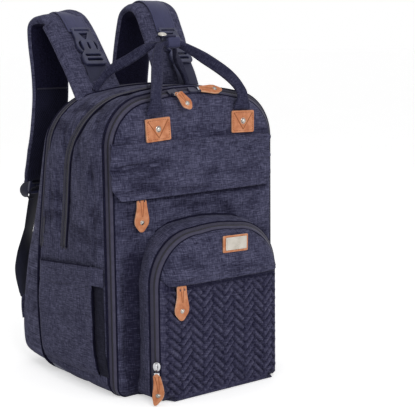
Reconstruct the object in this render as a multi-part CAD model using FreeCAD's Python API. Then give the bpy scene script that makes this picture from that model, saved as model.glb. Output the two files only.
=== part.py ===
import FreeCAD, Part
import math
import os
from FreeCAD import Matrix, Rotation, Vector

# Diaper backpack, millimetres. +X to the right seen from the front, +Y towards
# the wearer, +Z up. The origin is on the floor under the middle of the bag.

os.makedirs("parts", exist_ok=True)

# ---- driving dimensions -------------------------------------------------

# body
body_half_width = 150.0
body_top = 430.0            # crown of the arched top seam
body_crown = 9.0            # rise of the top seam between its shoulders
shoulder_in = 65.0          # width of each rounded top corner
shoulder_drop = 76.0        # height of each rounded top corner
foot_radius = 25.0
shell_wall = 3.0
seam_front = -78.0          # front edge of the gusset, at the main zip
zip_band_depth = 16.0       # how far the zip band runs forward
zip_band_inset = 14.0       # how far it runs in towards the middle
tape_wall = 2.0
panel_wall = 4.0
fold_height = 358.0         # the front panel folds forward above this line
lining_wall = 1.2
board_wall = 3.0
divider_y = -15.0
divider_top = 335.0
organiser_top = 150.0
organiser_depth = 12.0

# back, as (y, z) down the middle of each seam or face
rear_seam = [(38, 430), (66, 362), (88, 260), (108, 135), (104, 45), (84, 0)]
rear_face = [(54, 428), (84, 362), (110, 250), (142, 160), (158, 85), (160, 35), (150, 6)]
back_wall = 12.0            # foam back
back_lift = 2.0             # the back stands this far off the floor
mesh_pad_wall = 7.0
mesh_pad_width = 108.0
mesh_pad_gap = 26.0
mesh_pad_low = 40.0
mesh_pad_high = 380.0
piping_radius = 2.2

# front pocket
pocket_half_width = 114.0
pocket_top = 238.0
pocket_roof_fall = 10.0     # the pocket's roof drops this much towards the panel
pocket_crown = 3.0
pocket_shoulder = 52.0
pocket_foot = 12.0
pocket_base = 2.0
pocket_seam_y = -130.0
pocket_wall = 3.0
pad_wall = 8.0              # quilted face

# flaps and their zips
flap_wall = 3.0
flap_stand_off = 6.8        # room for a zip and its slider under a flap
flap_hem = 10.0
upper_flap_low = 279.5
upper_flap_half_width = 132.0
pocket_flap_low = 161.0
pocket_flap_high = 190.0
pocket_flap_half_width = 97.0
flap_corner = 13.0
flap_zip_width = 22.0
flap_zip_half_length = 117.0
quilt_zip_half_length = 92.0
flat_tape_wall = 1.0

# sliders and pulls
slider_length = 15.0
slider_width = 9.0
slider_height = 4.0
ear_wall = 1.2
ear_radius = 2.2
barrel_radius = 1.5
barrel_length = 6.0
pin_radius = 0.8
pull_length = 44.0
pull_neck = 11.0
pull_width = 18.0
pull_wall = 3.0
pull_widest = 28.0          # distance of the widest place from the barrel
rivet_radius = 3.2
rivet_height = 1.6

# places of the sliders, at rest
upper_slider_x = -105.0
quilt_slider_x = -80.0
arch_slider_z = 52.0
front_slider_left_x = -38.0
front_slider_right_x = -3.0
middle_slider_x = -42.0
top_slider_travel = 24.0    # of each slider on the crowned top seam
middle_seam_top_y = -45.0

# middle zip, as (y, z) down the side
middle_seam = [(middle_seam_top_y, body_top), (-15, 375), (4, 357), (17, 328), (25, 255), (32, 197)]
middle_zip_width = 16.0
middle_zip_wall = 1.3

# side pockets
side_pocket_low = 26.0
side_pocket_front_y = -46.0
side_pocket_front_top = 185.0
side_pocket_rear_top = 174.0
side_pocket_depth = 9.0
side_pocket_wall = 2.5

# handle patches and label
patch_width = 42.0
patch_height = 34.0
patch_wall = 3.0
patch_x = 77.0
patch_low = 363.0
label_width = 46.0
label_height = 26.0
label_wall = 2.0
label_x = 17.0
label_low = 197.5
plate_width = 38.0
plate_height = 19.0
plate_wall = 1.0

# carry handles
handle_radius = 5.5
grip_half_length = 18.0
grip_z = 494.0
front_grip_y = -28.0
grip_gap = 4.5
wrap_wall = 2.0
wrap_half_length = 15.0
snap_radius = 6.0
snap_height = 2.0

# shoulder straps, with the path of the middle of the padding as (y, z)
strap_x = 88.0
strap_width = 76.0
strap_wall = 13.0
strap_path = [(44, 421), (60, 449), (108, 507), (147, 536), (172, 524), (174, 400), (184, 352), (207, 284)]
strap_bends = 30.0
webbing_width = 38.0
webbing_wall = 2.0
webbing_x = 73.0

# side release buckles on the straps
buckle_width = 38.0
buckle_wall = 8.0
female_length = 44.0
male_body_length = 26.0
prong_length = 24.0
prong_width = 7.0
buckle_lift = 1.0

# ladder locks, adjusters and corner tabs
lock_width = 34.0
lock_length = 30.0
lock_wall = 5.0
lock_bar = 4.0
adjuster_width = 26.0
adjuster_wall = 1.8
corner_x = 146.0
corner_y = 161.5
corner_z = 78.0
tab_length = 26.0

clearance = 0.3             # between pieces that move past each other
touch = 0.05                # between sewn pieces that lie against each other
reach = 700.0               # longer than the bag, for tools that cut right through


# ---- geometry helpers ---------------------------------------------------

def box(x0, x1, y0, y1, z0, z1):
    return Part.makeBox(x1 - x0, y1 - y0, z1 - z0, Vector(x0, y0, z0))


def arch_wire(half, top, crown, shoulder, drop, foot, base, y, inset):
    """Closed outline of an arched panel in the plane at y, inset at the sides and top."""
    w = half - inset
    t = top - inset
    r = max(foot - inset, 2.0)
    k = w - shoulder
    side_top = t - crown - drop + inset
    corner = Vector(k + shoulder * math.sin(math.pi / 4), y, side_top + (t - crown - side_top) * math.sin(math.pi / 4))
    mirrored = Vector(-corner.x, y, corner.z)
    bend = r * (1 - math.sin(math.pi / 4))
    edges = [
        Part.makeLine(Vector(-w + r, y, base), Vector(w - r, y, base)),
        Part.Arc(Vector(w - r, y, base), Vector(w - bend, y, base + bend), Vector(w, y, base + r)).toShape(),
        Part.makeLine(Vector(w, y, base + r), Vector(w, y, side_top)),
        Part.Arc(Vector(w, y, side_top), corner, Vector(k, y, t - crown)).toShape(),
        Part.Arc(Vector(k, y, t - crown), Vector(0, y, t), Vector(-k, y, t - crown)).toShape(),
        Part.Arc(Vector(-k, y, t - crown), mirrored, Vector(-w, y, side_top)).toShape(),
        Part.makeLine(Vector(-w, y, side_top), Vector(-w, y, base + r)),
        Part.Arc(Vector(-w, y, base + r), Vector(-w + bend, y, base + bend), Vector(-w + r, y, base)).toShape(),
    ]
    return Part.Wire(edges)


def body_wire(y, inset, base=0.0):
    return arch_wire(body_half_width, body_top, body_crown, shoulder_in, shoulder_drop, foot_radius, base, y, inset)


def pocket_wire(y, inset, base=0.0):
    return arch_wire(pocket_half_width, pocket_top, pocket_crown, pocket_shoulder, pocket_shoulder, pocket_foot,
                     pocket_base + base, y, inset)


def prism(wire, depth):
    """Solid that runs from the wire's plane towards +Y."""
    return Part.Face(wire).extrude(Vector(0, depth, 0))


def ring(outline, y0, y1, wall):
    """Wall of even thickness just inside an outline, from y0 back to y1."""
    outer = prism(outline(y0, 0.0), y1 - y0)
    inner = prism(outline(y0 - 1, wall, wall), y1 - y0 + 2)
    return outer.cut(inner)


def band(outline, y0, inset0, y1, inset1, wall):
    """Sloping ring between two outlines, as a zip band lies round an edge."""
    outer = Part.makeLoft([outline(y0, inset0), outline(y1, inset1)], True, True)
    inner = Part.makeLoft([outline(y0, inset0 + wall, wall), outline(y1, inset1 + wall, wall)], True, True)
    return outer.cut(inner)


def side_curve(points, shift):
    """Smooth edge through (y, z) points in the plane x = -reach / 2."""
    spline = Part.BSplineCurve()
    spline.interpolate([Vector(-reach / 2, y + shift, z) for y, z in points])
    return spline.toShape()


def ahead_of(points, shift=0.0):
    """Everything in front of a side curve, above the floor and below the top."""
    low = points[-1]
    high = points[0]
    x = -reach / 2
    start = Vector(x, high[0] + shift, high[1])
    end = Vector(x, low[0] + shift, low[1])
    edges = [
        side_curve(points, shift),
        Part.makeLine(end, Vector(x, end.y, -reach)),
        Part.makeLine(Vector(x, end.y, -reach), Vector(x, -reach, -reach)),
        Part.makeLine(Vector(x, -reach, -reach), Vector(x, -reach, reach)),
        Part.makeLine(Vector(x, -reach, reach), Vector(x, start.y, reach)),
        Part.makeLine(Vector(x, start.y, reach), start),
    ]
    return Part.Face(Part.Wire(edges)).extrude(Vector(reach, 0, 0))


def rounded_path(points, radius, steps=4):
    """The (y, z) points of a path with each inner corner spread over an arc."""
    path = [points[0]]
    for before, corner, after in zip(points, points[1:], points[2:]):
        a = Vector(before[0] - corner[0], before[1] - corner[1], 0)
        b = Vector(after[0] - corner[0], after[1] - corner[1], 0)
        back = min(radius, a.Length * 0.45, b.Length * 0.45)
        a.normalize()
        b.normalize()
        for i in range(steps + 1):
            t = i / steps
            p = a * (back * (1 - t) ** 2) + b * (back * t ** 2)
            path.append((corner[0] + p.x, corner[1] + p.y))
    path.append(points[-1])
    return path


def normals(path):
    """Unit normal at each point of a (y, z) path, on its upper or outer side."""
    found = []
    for i in range(len(path)):
        before = path[max(i - 1, 0)]
        after = path[min(i + 1, len(path) - 1)]
        n = Vector(-(after[1] - before[1]), after[0] - before[0], 0)
        n.normalize()
        found.append(n)
    return found


def strip(path, x0, x1, low, high):
    """Flat band along a (y, z) path, between two offsets from it, from x0 to x1."""
    outer = []
    inner = []
    for (y, z), n in zip(path, normals(path)):
        outer.append(Vector(x0, y + n.x * high, z + n.y * high))
        inner.append(Vector(x0, y + n.x * low, z + n.y * low))
    wire = Part.makePolygon(outer + inner[::-1] + outer[:1])
    return Part.Face(wire).extrude(Vector(x1 - x0, 0, 0))


def ribbon(points, side, width, wall):
    """Thin webbing through 3-D points, its width along the side direction."""
    side = Vector(side)
    side.normalize()
    sections = []
    for i, p in enumerate(points):
        along = points[min(i + 1, len(points) - 1)] - points[max(i - 1, 0)]
        normal = side.cross(along)
        normal.normalize()
        u = side * (width / 2)
        n = normal * (wall / 2)
        sections.append([p - u - n, p + u - n, p + u + n, p - u + n])
    faces = [Part.Face(Part.makePolygon(end + end[:1])) for end in (sections[0], sections[-1])]
    for a, b in zip(sections, sections[1:]):
        for i in range(4):
            j = (i + 1) % 4
            faces.append(Part.Face(Part.makePolygon([a[i], a[j], b[j], a[i]])))
            faces.append(Part.Face(Part.makePolygon([a[i], b[j], b[i], a[i]])))
    return Part.Solid(Part.makeShell(faces)).removeSplitter()


def rod(points, radius):
    """Round webbing through 3-D points, with a ball at each bend."""
    shape = None
    for a, b in zip(points, points[1:]):
        run = Part.makeCylinder(radius, (b - a).Length, a, b - a)
        shape = run if shape is None else shape.fuse(run)
    for p in points[1:-1]:
        shape = shape.fuse(Part.makeSphere(radius, p))
    return shape


def mirrored(shape):
    return shape.mirror(Vector(0, 0, 0), Vector(1, 0, 0))


def placed(shape, origin, x_axis, z_axis):
    """Moves a shape from its own frame to one with the given origin, x and z axes."""
    x = Vector(x_axis)
    x.normalize()
    z = Vector(z_axis)
    z.normalize()
    y = z.cross(x)
    move = Matrix(x.x, y.x, z.x, origin.x, x.y, y.y, z.y, origin.y, x.z, y.z, z.z, origin.z, 0, 0, 0, 1)
    return shape.copy().transformed(move)


# ---- places worked out from the sizes -------------------------------------

panel_back_y = seam_front - zip_band_depth
panel_face_y = panel_back_y - panel_wall
pocket_face_back_y = pocket_seam_y - zip_band_depth
pocket_face_y = pocket_face_back_y - pad_wall
top_flat = body_top - body_crown


def top_at(x):
    """Height of the crowned top seam at x, between the shoulders."""
    k = body_half_width - shoulder_in
    radius = (k * k + body_crown * body_crown) / (2 * body_crown)
    return body_top - radius + math.sqrt(radius * radius - x * x)


# ---- body -------------------------------------------------------------------

def gusset_shell():
    shell = ring(body_wire, seam_front, seam_front + reach, shell_wall)
    return shell.common(ahead_of(rear_seam))


def lining():
    gap = shell_wall + clearance
    outer = prism(body_wire(seam_front + 2, gap, gap), reach)
    inner = prism(body_wire(seam_front + 1, gap + lining_wall, gap + lining_wall), reach)
    return outer.cut(inner).common(ahead_of(rear_seam, -clearance))


def back_panel():
    """Padded back, dished to follow the wearer, open towards the inside of the bag."""
    slab = prism(body_wire(seam_front, 0.0, back_lift), reach)
    slab = slab.common(ahead_of(rear_face)).cut(ahead_of(rear_seam, touch))
    room = prism(body_wire(seam_front, panel_wall, back_lift + panel_wall), reach)
    return slab.cut(room.common(ahead_of(rear_face, -back_wall)))


def back_mesh_pads():
    """Two padded mesh cushions on the back panel, with an air channel between them."""
    layer = ahead_of(rear_face, mesh_pad_wall).cut(ahead_of(rear_face, touch))
    left = box(-mesh_pad_gap / 2 - mesh_pad_width, -mesh_pad_gap / 2, 0, reach, mesh_pad_low, mesh_pad_high)
    return Part.makeCompound([layer.common(left), layer.common(mirrored(left))])


def rear_piping():
    """Cord sewn round the rear seam, a little proud of the shell."""
    width = 2 * piping_radius
    outer = prism(body_wire(seam_front, -piping_radius, 0.5), reach)
    inner = prism(body_wire(seam_front - 1, -touch), reach + 2)
    slice_ = ahead_of(rear_seam, width / 2).cut(ahead_of(rear_seam, -width / 2))
    return outer.cut(inner).common(slice_).common(box(-reach, reach, -reach, reach, foot_radius, body_top + reach))


def base_board():
    low = shell_wall + clearance + lining_wall + clearance
    half = body_half_width - foot_radius - 4
    return box(-half, half, seam_front + 6, 78, low, low + board_wall)


def divider():
    gap = shell_wall + lining_wall + 2 * clearance
    low = gap + board_wall + clearance
    wall = prism(body_wire(divider_y - panel_wall / 2, gap + 0.2, low), panel_wall)
    return wall.common(box(-reach, reach, -reach, reach, 0, divider_top))


def organiser_pocket():
    """Row of elastic pockets on the front of the divider, open at the top."""
    back = divider_y - panel_wall / 2 - 0.05
    front = back - organiser_depth
    half = body_half_width - foot_radius - 12
    low = 12.0
    wall = 2.0
    shape = box(-half, half, front, back, low, organiser_top)
    bays = 3
    bay = (2 * half - (bays + 1) * wall) / bays
    for i in range(bays):
        x = -half + wall + i * (bay + wall)
        shape = shape.cut(box(x, x + bay, front + wall, back + 1, low + wall, organiser_top + 1))
    return shape


def zip_band_halves(outline, y0, inset, wall, gap=clearance):
    """The outer and inner halves of a sloping zip band, parted at the coil."""
    middle_y = y0 - zip_band_depth / 2
    outer = band(outline, y0 - 0.05, 0.0, middle_y + gap / 2, inset / 2, wall)
    inner = band(outline, middle_y - gap / 2, inset / 2, y0 - zip_band_depth + 0.05, inset, wall)
    return outer, inner


def front_zip_tape():
    """Zip band on the shell's side of the main zip, with the closed stretch below the fold."""
    outer, inner = zip_band_halves(body_wire, seam_front, zip_band_inset, tape_wall)
    below = inner.common(box(-reach, reach, -reach, reach, -1, fold_height - clearance))
    return Part.makeCompound([outer, below])


def front_zip_top_tape():
    inner = zip_band_halves(body_wire, seam_front, zip_band_inset, tape_wall)[1]
    return inner.common(box(-reach, reach, -reach, reach, fold_height, reach))


def panel_slab(low, high):
    slab = prism(body_wire(panel_face_y, zip_band_inset), panel_wall)
    return slab.common(box(-reach, reach, -reach, reach, low, high))


def front_panel():
    return panel_slab(0, fold_height - clearance)


def front_panel_top():
    return panel_slab(fold_height, reach)


def middle_zip_tape():
    """Zip tape on the shell, down both sides and over the top."""
    outer = prism(body_wire(seam_front + 1, -middle_zip_wall), reach)
    inner = prism(body_wire(seam_front, -touch), reach + 2)
    half = middle_zip_width / 2
    low = middle_seam[-1][1]
    slice_ = ahead_of(middle_seam, half).cut(ahead_of(middle_seam, -half))
    return outer.cut(inner).common(slice_).common(box(-reach, reach, -reach, reach, low, reach))


def side_pocket():
    """Open-topped pocket on the left side, from the front zip back to the rear seam."""
    def side_face(x, inset):
        front = side_pocket_front_y + inset
        low = side_pocket_low + inset
        rise = reach if inset else 0.0
        points = [Vector(x, front, low), Vector(x, reach / 2, low), Vector(x, reach / 2, side_pocket_rear_top + rise),
                  Vector(x, 99, side_pocket_rear_top + rise), Vector(x, front, side_pocket_front_top + rise)]
        return Part.Face(Part.makePolygon(points + points[:1]))
    wall = side_pocket_wall
    x = -body_half_width - side_pocket_depth
    shell_side = -body_half_width - 0.05
    block = side_face(x, 0.0).extrude(Vector(shell_side - x, 0, 0))
    room = side_face(x + wall, wall).extrude(Vector(side_pocket_depth, 0, 0))
    block = block.common(ahead_of(rear_seam, -2 * piping_radius))
    room = room.common(ahead_of(rear_seam, -2 * piping_radius - wall))
    return block.cut(room)


# ---- handle patches, label ----------------------------------------------------

def rounded_plate(x, z, width, height, face_y, wall, corner=3.0):
    """Flat plate in front of a face, its lower edge at z."""
    plate = box(x - width / 2, x + width / 2, face_y - wall, face_y, z, z + height)
    upright = [e for e in plate.Edges if abs(e.BoundBox.YLength - wall) < 0.01 and e.BoundBox.XLength < 0.01]
    return plate.makeFillet(corner, upright)


def patch():
    return rounded_plate(-patch_x, patch_low, patch_width, patch_height, panel_face_y - 0.05, patch_wall)


def dome(centre, radius, height, axis):
    """Low dome of a given height on a flat place."""
    ball = (radius * radius + height * height) / (2 * height)
    direction = Vector(axis)
    direction.normalize()
    sphere = Part.makeSphere(ball, centre - direction * (ball - height), direction)
    return sphere.common(Part.makeCylinder(radius, height, centre, direction))


def patch_rivets():
    y = panel_face_y - patch_wall - 0.1
    z = patch_low + patch_height * 0.45
    left = dome(Vector(-patch_x, y, z), rivet_radius * 1.15, rivet_height * 1.3, (0, -1, 0))
    return Part.makeCompound([left, mirrored(left)])


def label_leather():
    return rounded_plate(label_x, label_low, label_width, label_height, pocket_face_y - 0.05, label_wall, 2.0)


def label_plate():
    z = label_low + (label_height - plate_height) / 2
    return rounded_plate(label_x, z, plate_width, plate_height, pocket_face_y - label_wall - 0.1, plate_wall, 1.5)


# ---- front pocket ---------------------------------------------------------------

def pocket_gusset():
    """Wall round the pocket, from its zip back to the panel, with a sloping roof."""
    def roof_wire(y, inset, base=0.0):
        back_y = panel_face_y - touch
        fall = pocket_roof_fall * (y - pocket_seam_y) / (back_y - pocket_seam_y)
        return arch_wire(pocket_half_width, pocket_top - fall, pocket_crown, pocket_shoulder, pocket_shoulder,
                         pocket_foot, pocket_base + base, y, inset)
    return band(roof_wire, pocket_seam_y, 0.0, panel_face_y - touch, 0.0, pocket_wall)


def arch_zip_tape():
    return zip_band_halves(pocket_wire, pocket_seam_y, zip_band_inset, tape_wall)[0]


def arch_zip_face_tape():
    return zip_band_halves(pocket_wire, pocket_seam_y, zip_band_inset, tape_wall)[1]


def pocket_face():
    return prism(pocket_wire(pocket_face_y, zip_band_inset), pad_wall)


def flap(half, low, high, face_y):
    """Storm flap with cut lower corners, sewn along its top edge."""
    cut = flap_corner
    front = face_y - flap_stand_off - flap_wall
    points = [Vector(-half, front, high), Vector(-half, front, low + cut), Vector(-half + cut, front, low),
              Vector(half - cut, front, low), Vector(half, front, low + cut), Vector(half, front, high)]
    sheet = Part.Face(Part.makePolygon(points + points[:1])).extrude(Vector(0, flap_wall, 0))
    hem = box(-half, half, front + 1, face_y - 0.1, high - flap_hem, high)
    return sheet.fuse(hem).removeSplitter()


def upper_flap():
    return flap(upper_flap_half_width, upper_flap_low, fold_height - 1.0, panel_face_y)


def pocket_flap():
    return flap(pocket_flap_half_width, pocket_flap_low, pocket_flap_high, pocket_face_y)


def flat_zip(face_y, flap_low, half):
    middle = flap_low + slider_width / 2
    return box(-half, half, face_y - 0.05 - flat_tape_wall, face_y - 0.05,
               middle - flap_zip_width / 2, middle + flap_zip_width / 2)


def upper_zip_tape():
    return flat_zip(panel_face_y, upper_flap_low, flap_zip_half_length)


def quilt_zip_tape():
    return flat_zip(pocket_face_y, pocket_flap_low, quilt_zip_half_length)


# ---- sliders and pulls -------------------------------------------------------------
# A slider's own frame has x along the zip, y across it and z out of the tape.

barrel_out = slider_height + ear_radius - 1.5
barrel_from_side = slider_width / 2 + ear_radius
barrel_from_end = slider_length / 2 + ear_radius


def slider(barrel_along):
    """Slider with two ears that hold a pull's barrel, along or across the zip."""
    half_l = slider_length / 2
    half_w = slider_width / 2
    body = box(-half_l, half_l, -half_w, half_w, clearance, slider_height)
    ends = [e for e in body.Edges if e.BoundBox.ZLength > 1]
    body = body.makeFillet(2.0, ends)
    if barrel_along:
        centre = Vector(0, -barrel_from_side, barrel_out)
        axis = Vector(1, 0, 0)
        arm = Vector(0, ear_radius + 2, 0)
    else:
        centre = Vector(barrel_from_end, 0, barrel_out)
        axis = Vector(0, 1, 0)
        arm = Vector(-ear_radius - 2, 0, 0)
    for side in (-1, 1):
        inner = barrel_length / 2 + clearance
        start = centre + axis * (inner if side > 0 else -inner - ear_wall)
        ear = Part.makeCylinder(ear_radius, ear_wall, start, axis)
        hole = Part.makeCylinder(pin_radius + 0.08, ear_wall + 2, start - axis, axis)
        bridge_end = start + arm
        low = Vector(min(start.x, bridge_end.x), min(start.y, bridge_end.y), clearance + 1.5)
        size_x = max(abs(arm.x), ear_wall)
        size_y = max(abs(arm.y), ear_wall)
        bridge = Part.makeBox(size_x, size_y, barrel_out + 0.4 - low.z, low)
        body = body.fuse(ear.fuse(bridge).cut(hole))
    return body.removeSplitter()


def pull(link=0.0, turn=0.0):
    """Leather pull with its barrel, pins and rivet. It hangs along -y, face towards +z.

    link moves the leather out from the barrel, and turn swings it round z, in degrees.
    """
    axis = Vector(1, 0, 0)
    barrel = Part.makeCylinder(barrel_radius, barrel_length, Vector(-barrel_length / 2, 0, 0), axis)
    pins = Part.makeCylinder(pin_radius, barrel_length + 2 * ear_wall, Vector(-barrel_length / 2 - ear_wall, 0, 0), axis)
    metal = barrel.fuse(pins)
    if link:
        metal = metal.fuse(box(-2, 2, -1, 1, 0, link + pull_wall / 2))
    neck = pull_neck / 2
    wide = pull_width / 2
    start = -ear_radius - 0.4 - neck * math.sin(math.radians(abs(turn)))
    tip = -pull_length
    right = [Vector(neck, start, 0), Vector(wide, -pull_widest, 0), Vector(wide * 0.86, -pull_widest - 7, 0),
             Vector(2.5, tip, 0)]
    left = [Vector(-p.x, p.y, 0) for p in right[::-1]]
    outline = Part.Face(Part.makePolygon(right + left + right[:1]))
    leather = outline.extrude(Vector(0, 0, pull_wall)).translated(Vector(0, 0, -pull_wall / 2))
    rivet = dome(Vector(0, -pull_widest - 2, pull_wall / 2 + touch), rivet_radius, rivet_height, (0, 0, 1))
    swing_centre = Vector(0, start, 0)
    leather = leather.rotated(swing_centre, Vector(0, 0, 1), turn)
    rivet = rivet.rotated(swing_centre, Vector(0, 0, 1), turn).translated(Vector(0, 0, link))
    tongue = box(-barrel_length / 2, barrel_length / 2, start - 3, 0, -1.2, 1.2)
    leather = leather.fuse(tongue).translated(Vector(0, 0, link))
    return Part.makeCompound([leather.fuse(metal).removeSplitter(), rivet])


def slider_frames():
    """Origin, zip direction and outward normal of each slider."""
    slope = Vector(0, -zip_band_inset, zip_band_depth)
    slope.normalize()
    upward = Vector(0, 0, 1)
    side_slope = Vector(-zip_band_depth, -zip_band_inset, 0)
    side_slope.normalize()
    band_middle_y = seam_front - zip_band_depth / 2
    lift = 0.3
    top_lift = 0.5
    forward = Vector(0, -1, 0)
    across = Vector(1, 0, 0)

    def on_top(x, travel, y, drop, normal):
        """A slider on the crowned top seam, in line with the middle of its travel."""
        left = min(x, x + travel)
        right = max(x, x + travel)
        along = Vector(right - left, 0, top_at(right) - top_at(left))
        along.normalize()
        out = along.cross(normal.cross(along))
        out.normalize()
        return Vector(x, y, top_at(x) - drop) + out * top_lift, along, out

    arch_x = -pocket_half_width + zip_band_inset / 2
    arch_y = pocket_seam_y - zip_band_depth / 2
    return {
        "upper": (Vector(upper_slider_x, panel_face_y - flat_tape_wall - 0.1, upper_flap_low + slider_width / 2),
                  across, forward),
        "quilt": (Vector(quilt_slider_x, pocket_face_y - flat_tape_wall - 0.1, pocket_flap_low + slider_width / 2),
                  across, forward),
        "arch": (Vector(arch_x, arch_y, arch_slider_z) + side_slope * lift, Vector(0, 0, -1), side_slope),
        "front_left": on_top(front_slider_left_x, -top_slider_travel, band_middle_y, zip_band_inset / 2, slope),
        "front_right": on_top(front_slider_right_x, top_slider_travel, band_middle_y, zip_band_inset / 2, slope),
        "middle": on_top(middle_slider_x, -top_slider_travel, middle_seam_top_y, -middle_zip_wall, upward),
    }


# How each pull hangs at rest: whether its barrel lies along the zip, the tilt about the
# barrel in degrees, the link out of the barrel, and the turn in its own plane.
pull_rest = {
    "upper": (True, 0.0, 0.0, 0.0),
    "quilt": (True, 0.0, 0.0, 0.0),
    "arch": (False, -24.0, 0.0, 0.0),
    "front_left": (True, 41.2, 8.6, 42.0),
    "front_right": (False, 2.0, 0.0, 0.0),
    "middle": (True, 8.0, 0.0, -38.0),
}


def pull_hinge(name):
    """Middle of a pull's barrel, the barrel's axis and the way the pull hangs untilted."""
    origin, along, normal = slider_frames()[name]
    across = normal.cross(along)
    if pull_rest[name][0]:
        return origin - across * barrel_from_side + normal * barrel_out, along, -across
    return origin + along * barrel_from_end + normal * barrel_out, across, along


def slider_and_pull(name):
    origin, along, normal = slider_frames()[name]
    barrel_along, tilt, link, turn = pull_rest[name]
    body = placed(slider(barrel_along), origin, along, normal)
    centre, hinge, hang = pull_hinge(name)
    face = hinge.cross(-hang)
    tilted = Rotation(hinge, tilt).multVec(face)
    leather = placed(pull(link, turn), centre, hinge, tilted)
    return body, leather


# ---- carry handles -------------------------------------------------------------------

def leg_points(side, points):
    return [Vector(side * x, y, z) for x, y, z in points]


def front_handle():
    y = panel_face_y - handle_radius - clearance
    leg = [(grip_half_length, front_grip_y, grip_z), (50, -70, 460), (72, y, 428),
           (patch_x - 1, y, patch_low + patch_height + 1.2)]
    return rod(leg_points(-1, leg)[::-1] + leg_points(1, leg), handle_radius)


def rear_handle():
    y = front_grip_y + 2 * handle_radius + grip_gap
    leg = [(grip_half_length, y, grip_z - 3), (43, 8, 470), (66, 22, 455), (88, 30, top_flat)]
    arch = rod(leg_points(-1, leg)[::-1] + leg_points(1, leg), handle_radius)
    return arch.cut(prism(body_wire(seam_front, -clearance), reach))


def wrap_box(wall, gap):
    r = handle_radius + gap + wall
    return box(-wrap_half_length, wrap_half_length, front_grip_y - r, front_grip_y + r, grip_z - r, grip_z + r)


def handle_wrap():
    """Sleeve round the front grip, open on top where its flap closes it."""
    sleeve = wrap_box(wrap_wall, clearance).cut(
        wrap_box(0.0, clearance).common(box(-reach, reach, -reach, reach, 0, reach)).fuse(
            Part.makeCylinder(handle_radius + clearance, 2 * reach, Vector(-reach, front_grip_y, grip_z), Vector(1, 0, 0))))
    r = handle_radius + clearance
    room = box(-reach, reach, front_grip_y - r, front_grip_y + r, grip_z - r, grip_z + 2 * r)
    return sleeve.cut(room)


def wrap_flap():
    r = handle_radius + clearance + wrap_wall
    top = grip_z + r + clearance
    return box(-wrap_half_length, wrap_half_length, front_grip_y - r, front_grip_y + r, top, top + wrap_wall)


def wrap_snap():
    r = handle_radius + clearance + wrap_wall
    top = grip_z + r + clearance + wrap_wall + 0.05
    x = -wrap_half_length + snap_radius + 1.5
    return dome(Vector(x, front_grip_y - 1.0, top), snap_radius, snap_height, (0, 0, 1))


# ---- shoulder straps --------------------------------------------------------------------

smooth_strap = rounded_path(strap_path, strap_bends)


def strap_frame():
    """Place on the strap's outer face where the buckle starts, and the directions down and out."""
    low = Vector(0, strap_path[1][0], strap_path[1][1])
    high = Vector(0, strap_path[2][0], strap_path[2][1])
    down = low - high
    down.normalize()
    out = Vector(0, down.z, -down.y)
    start = high + out * (strap_wall / 2)
    return start, down, out


def shoulder_strap():
    """Padded strap, trimmed where it is sewn in behind the top of the bag."""
    half = strap_width / 2
    whole = strip(smooth_strap, -strap_x - half, -strap_x + half, -strap_wall / 2, strap_wall / 2)
    bag = prism(body_wire(seam_front, -piping_radius - clearance), reach).common(ahead_of(rear_face, clearance))
    return whole.cut(bag)


def buckle_frame():
    start, down, out = strap_frame()
    return start + Vector(-webbing_x, 0, 0) + out * (webbing_wall + buckle_lift), down, out


def male_buckle():
    """Web bar, body and two prongs. Own frame: x down the strap, y across, z out."""
    half = buckle_width / 2 - 3
    shape = box(0, male_body_length, -half, half, 0.2, buckle_wall - 1.5)
    shape = shape.cut(box(3, 7, -half + 3, half - 3, -1, buckle_wall))
    neck = [Vector(10, -9, -1), Vector(10, 9, -1), Vector(20, 0, -1)]
    shape = shape.cut(Part.Face(Part.makePolygon(neck + neck[:1])).extrude(Vector(0, 0, 2 * buckle_wall)))
    end = male_body_length + prong_length
    low = 2.0
    high = buckle_wall - 2.6
    for side in (-1, 1):
        y = side * (half - prong_width / 2)
        prong = box(male_body_length - 1, end, y - prong_width / 2, y + prong_width / 2, low, high)
        shape = shape.fuse(prong)
    guide = box(male_body_length - 1, end - 3, -3, 3, low, high)
    return shape.fuse(guide).removeSplitter()


def female_buckle():
    """Hollow socket with side windows and a two-bar ladder at its lower end."""
    half = buckle_width / 2
    start = male_body_length + clearance
    end = start + female_length
    shell = box(start, end, -half, half, 0.2, buckle_wall)
    corners = [e for e in shell.Edges if e.BoundBox.ZLength > 1]
    shell = shell.makeFillet(4.0, corners)
    low = 2.0 - clearance
    high = buckle_wall - 2.6 + clearance
    room_half = half - 3 + clearance
    shape = shell.cut(box(start - 1, start + prong_length + 1, -room_half, room_half, low, high))
    shape = shape.cut(box(start + 6, start + 17, -half - 1, half + 1, low, high))
    for x in (end - 15, end - 8):
        shape = shape.cut(box(x, x + 4, -half + 5, half - 5, -1, buckle_wall + 1))
    return shape


def strap_webbing():
    """Webbing sewn on the strap, from over its crown down to the male half."""
    start, down, out = strap_frame()
    half = webbing_width / 2
    crown = [p for p in smooth_strap if p[0] >= strap_path[2][0] + 2 and p[1] > 500 and p[0] < strap_path[4][0]]
    path = [(start.y - out.y * strap_wall / 2, start.z - out.z * strap_wall / 2)] + crown
    return strip(path, -webbing_x - half, -webbing_x + half, strap_wall / 2 + 0.1, strap_wall / 2 + 0.1 + webbing_wall)


def buckle_webbing():
    """Short webbing from the female half down to the strap's foot."""
    start, down, out = strap_frame()
    first = start + down * (male_body_length + female_length + 2 * clearance) + out * 2.0
    last = Vector(0, strap_path[0][0], strap_path[0][1]) + out * (strap_wall / 2 + 1.5)
    half = webbing_width / 2
    path = [(p.y, p.z) for p in (last, first)]
    band_ = strip(path, -webbing_x - half, -webbing_x + half, -webbing_wall / 2, webbing_wall / 2)
    bag = prism(body_wire(seam_front, -piping_radius - clearance), reach)
    return band_.cut(bag).cut(shoulder_strap())


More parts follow.
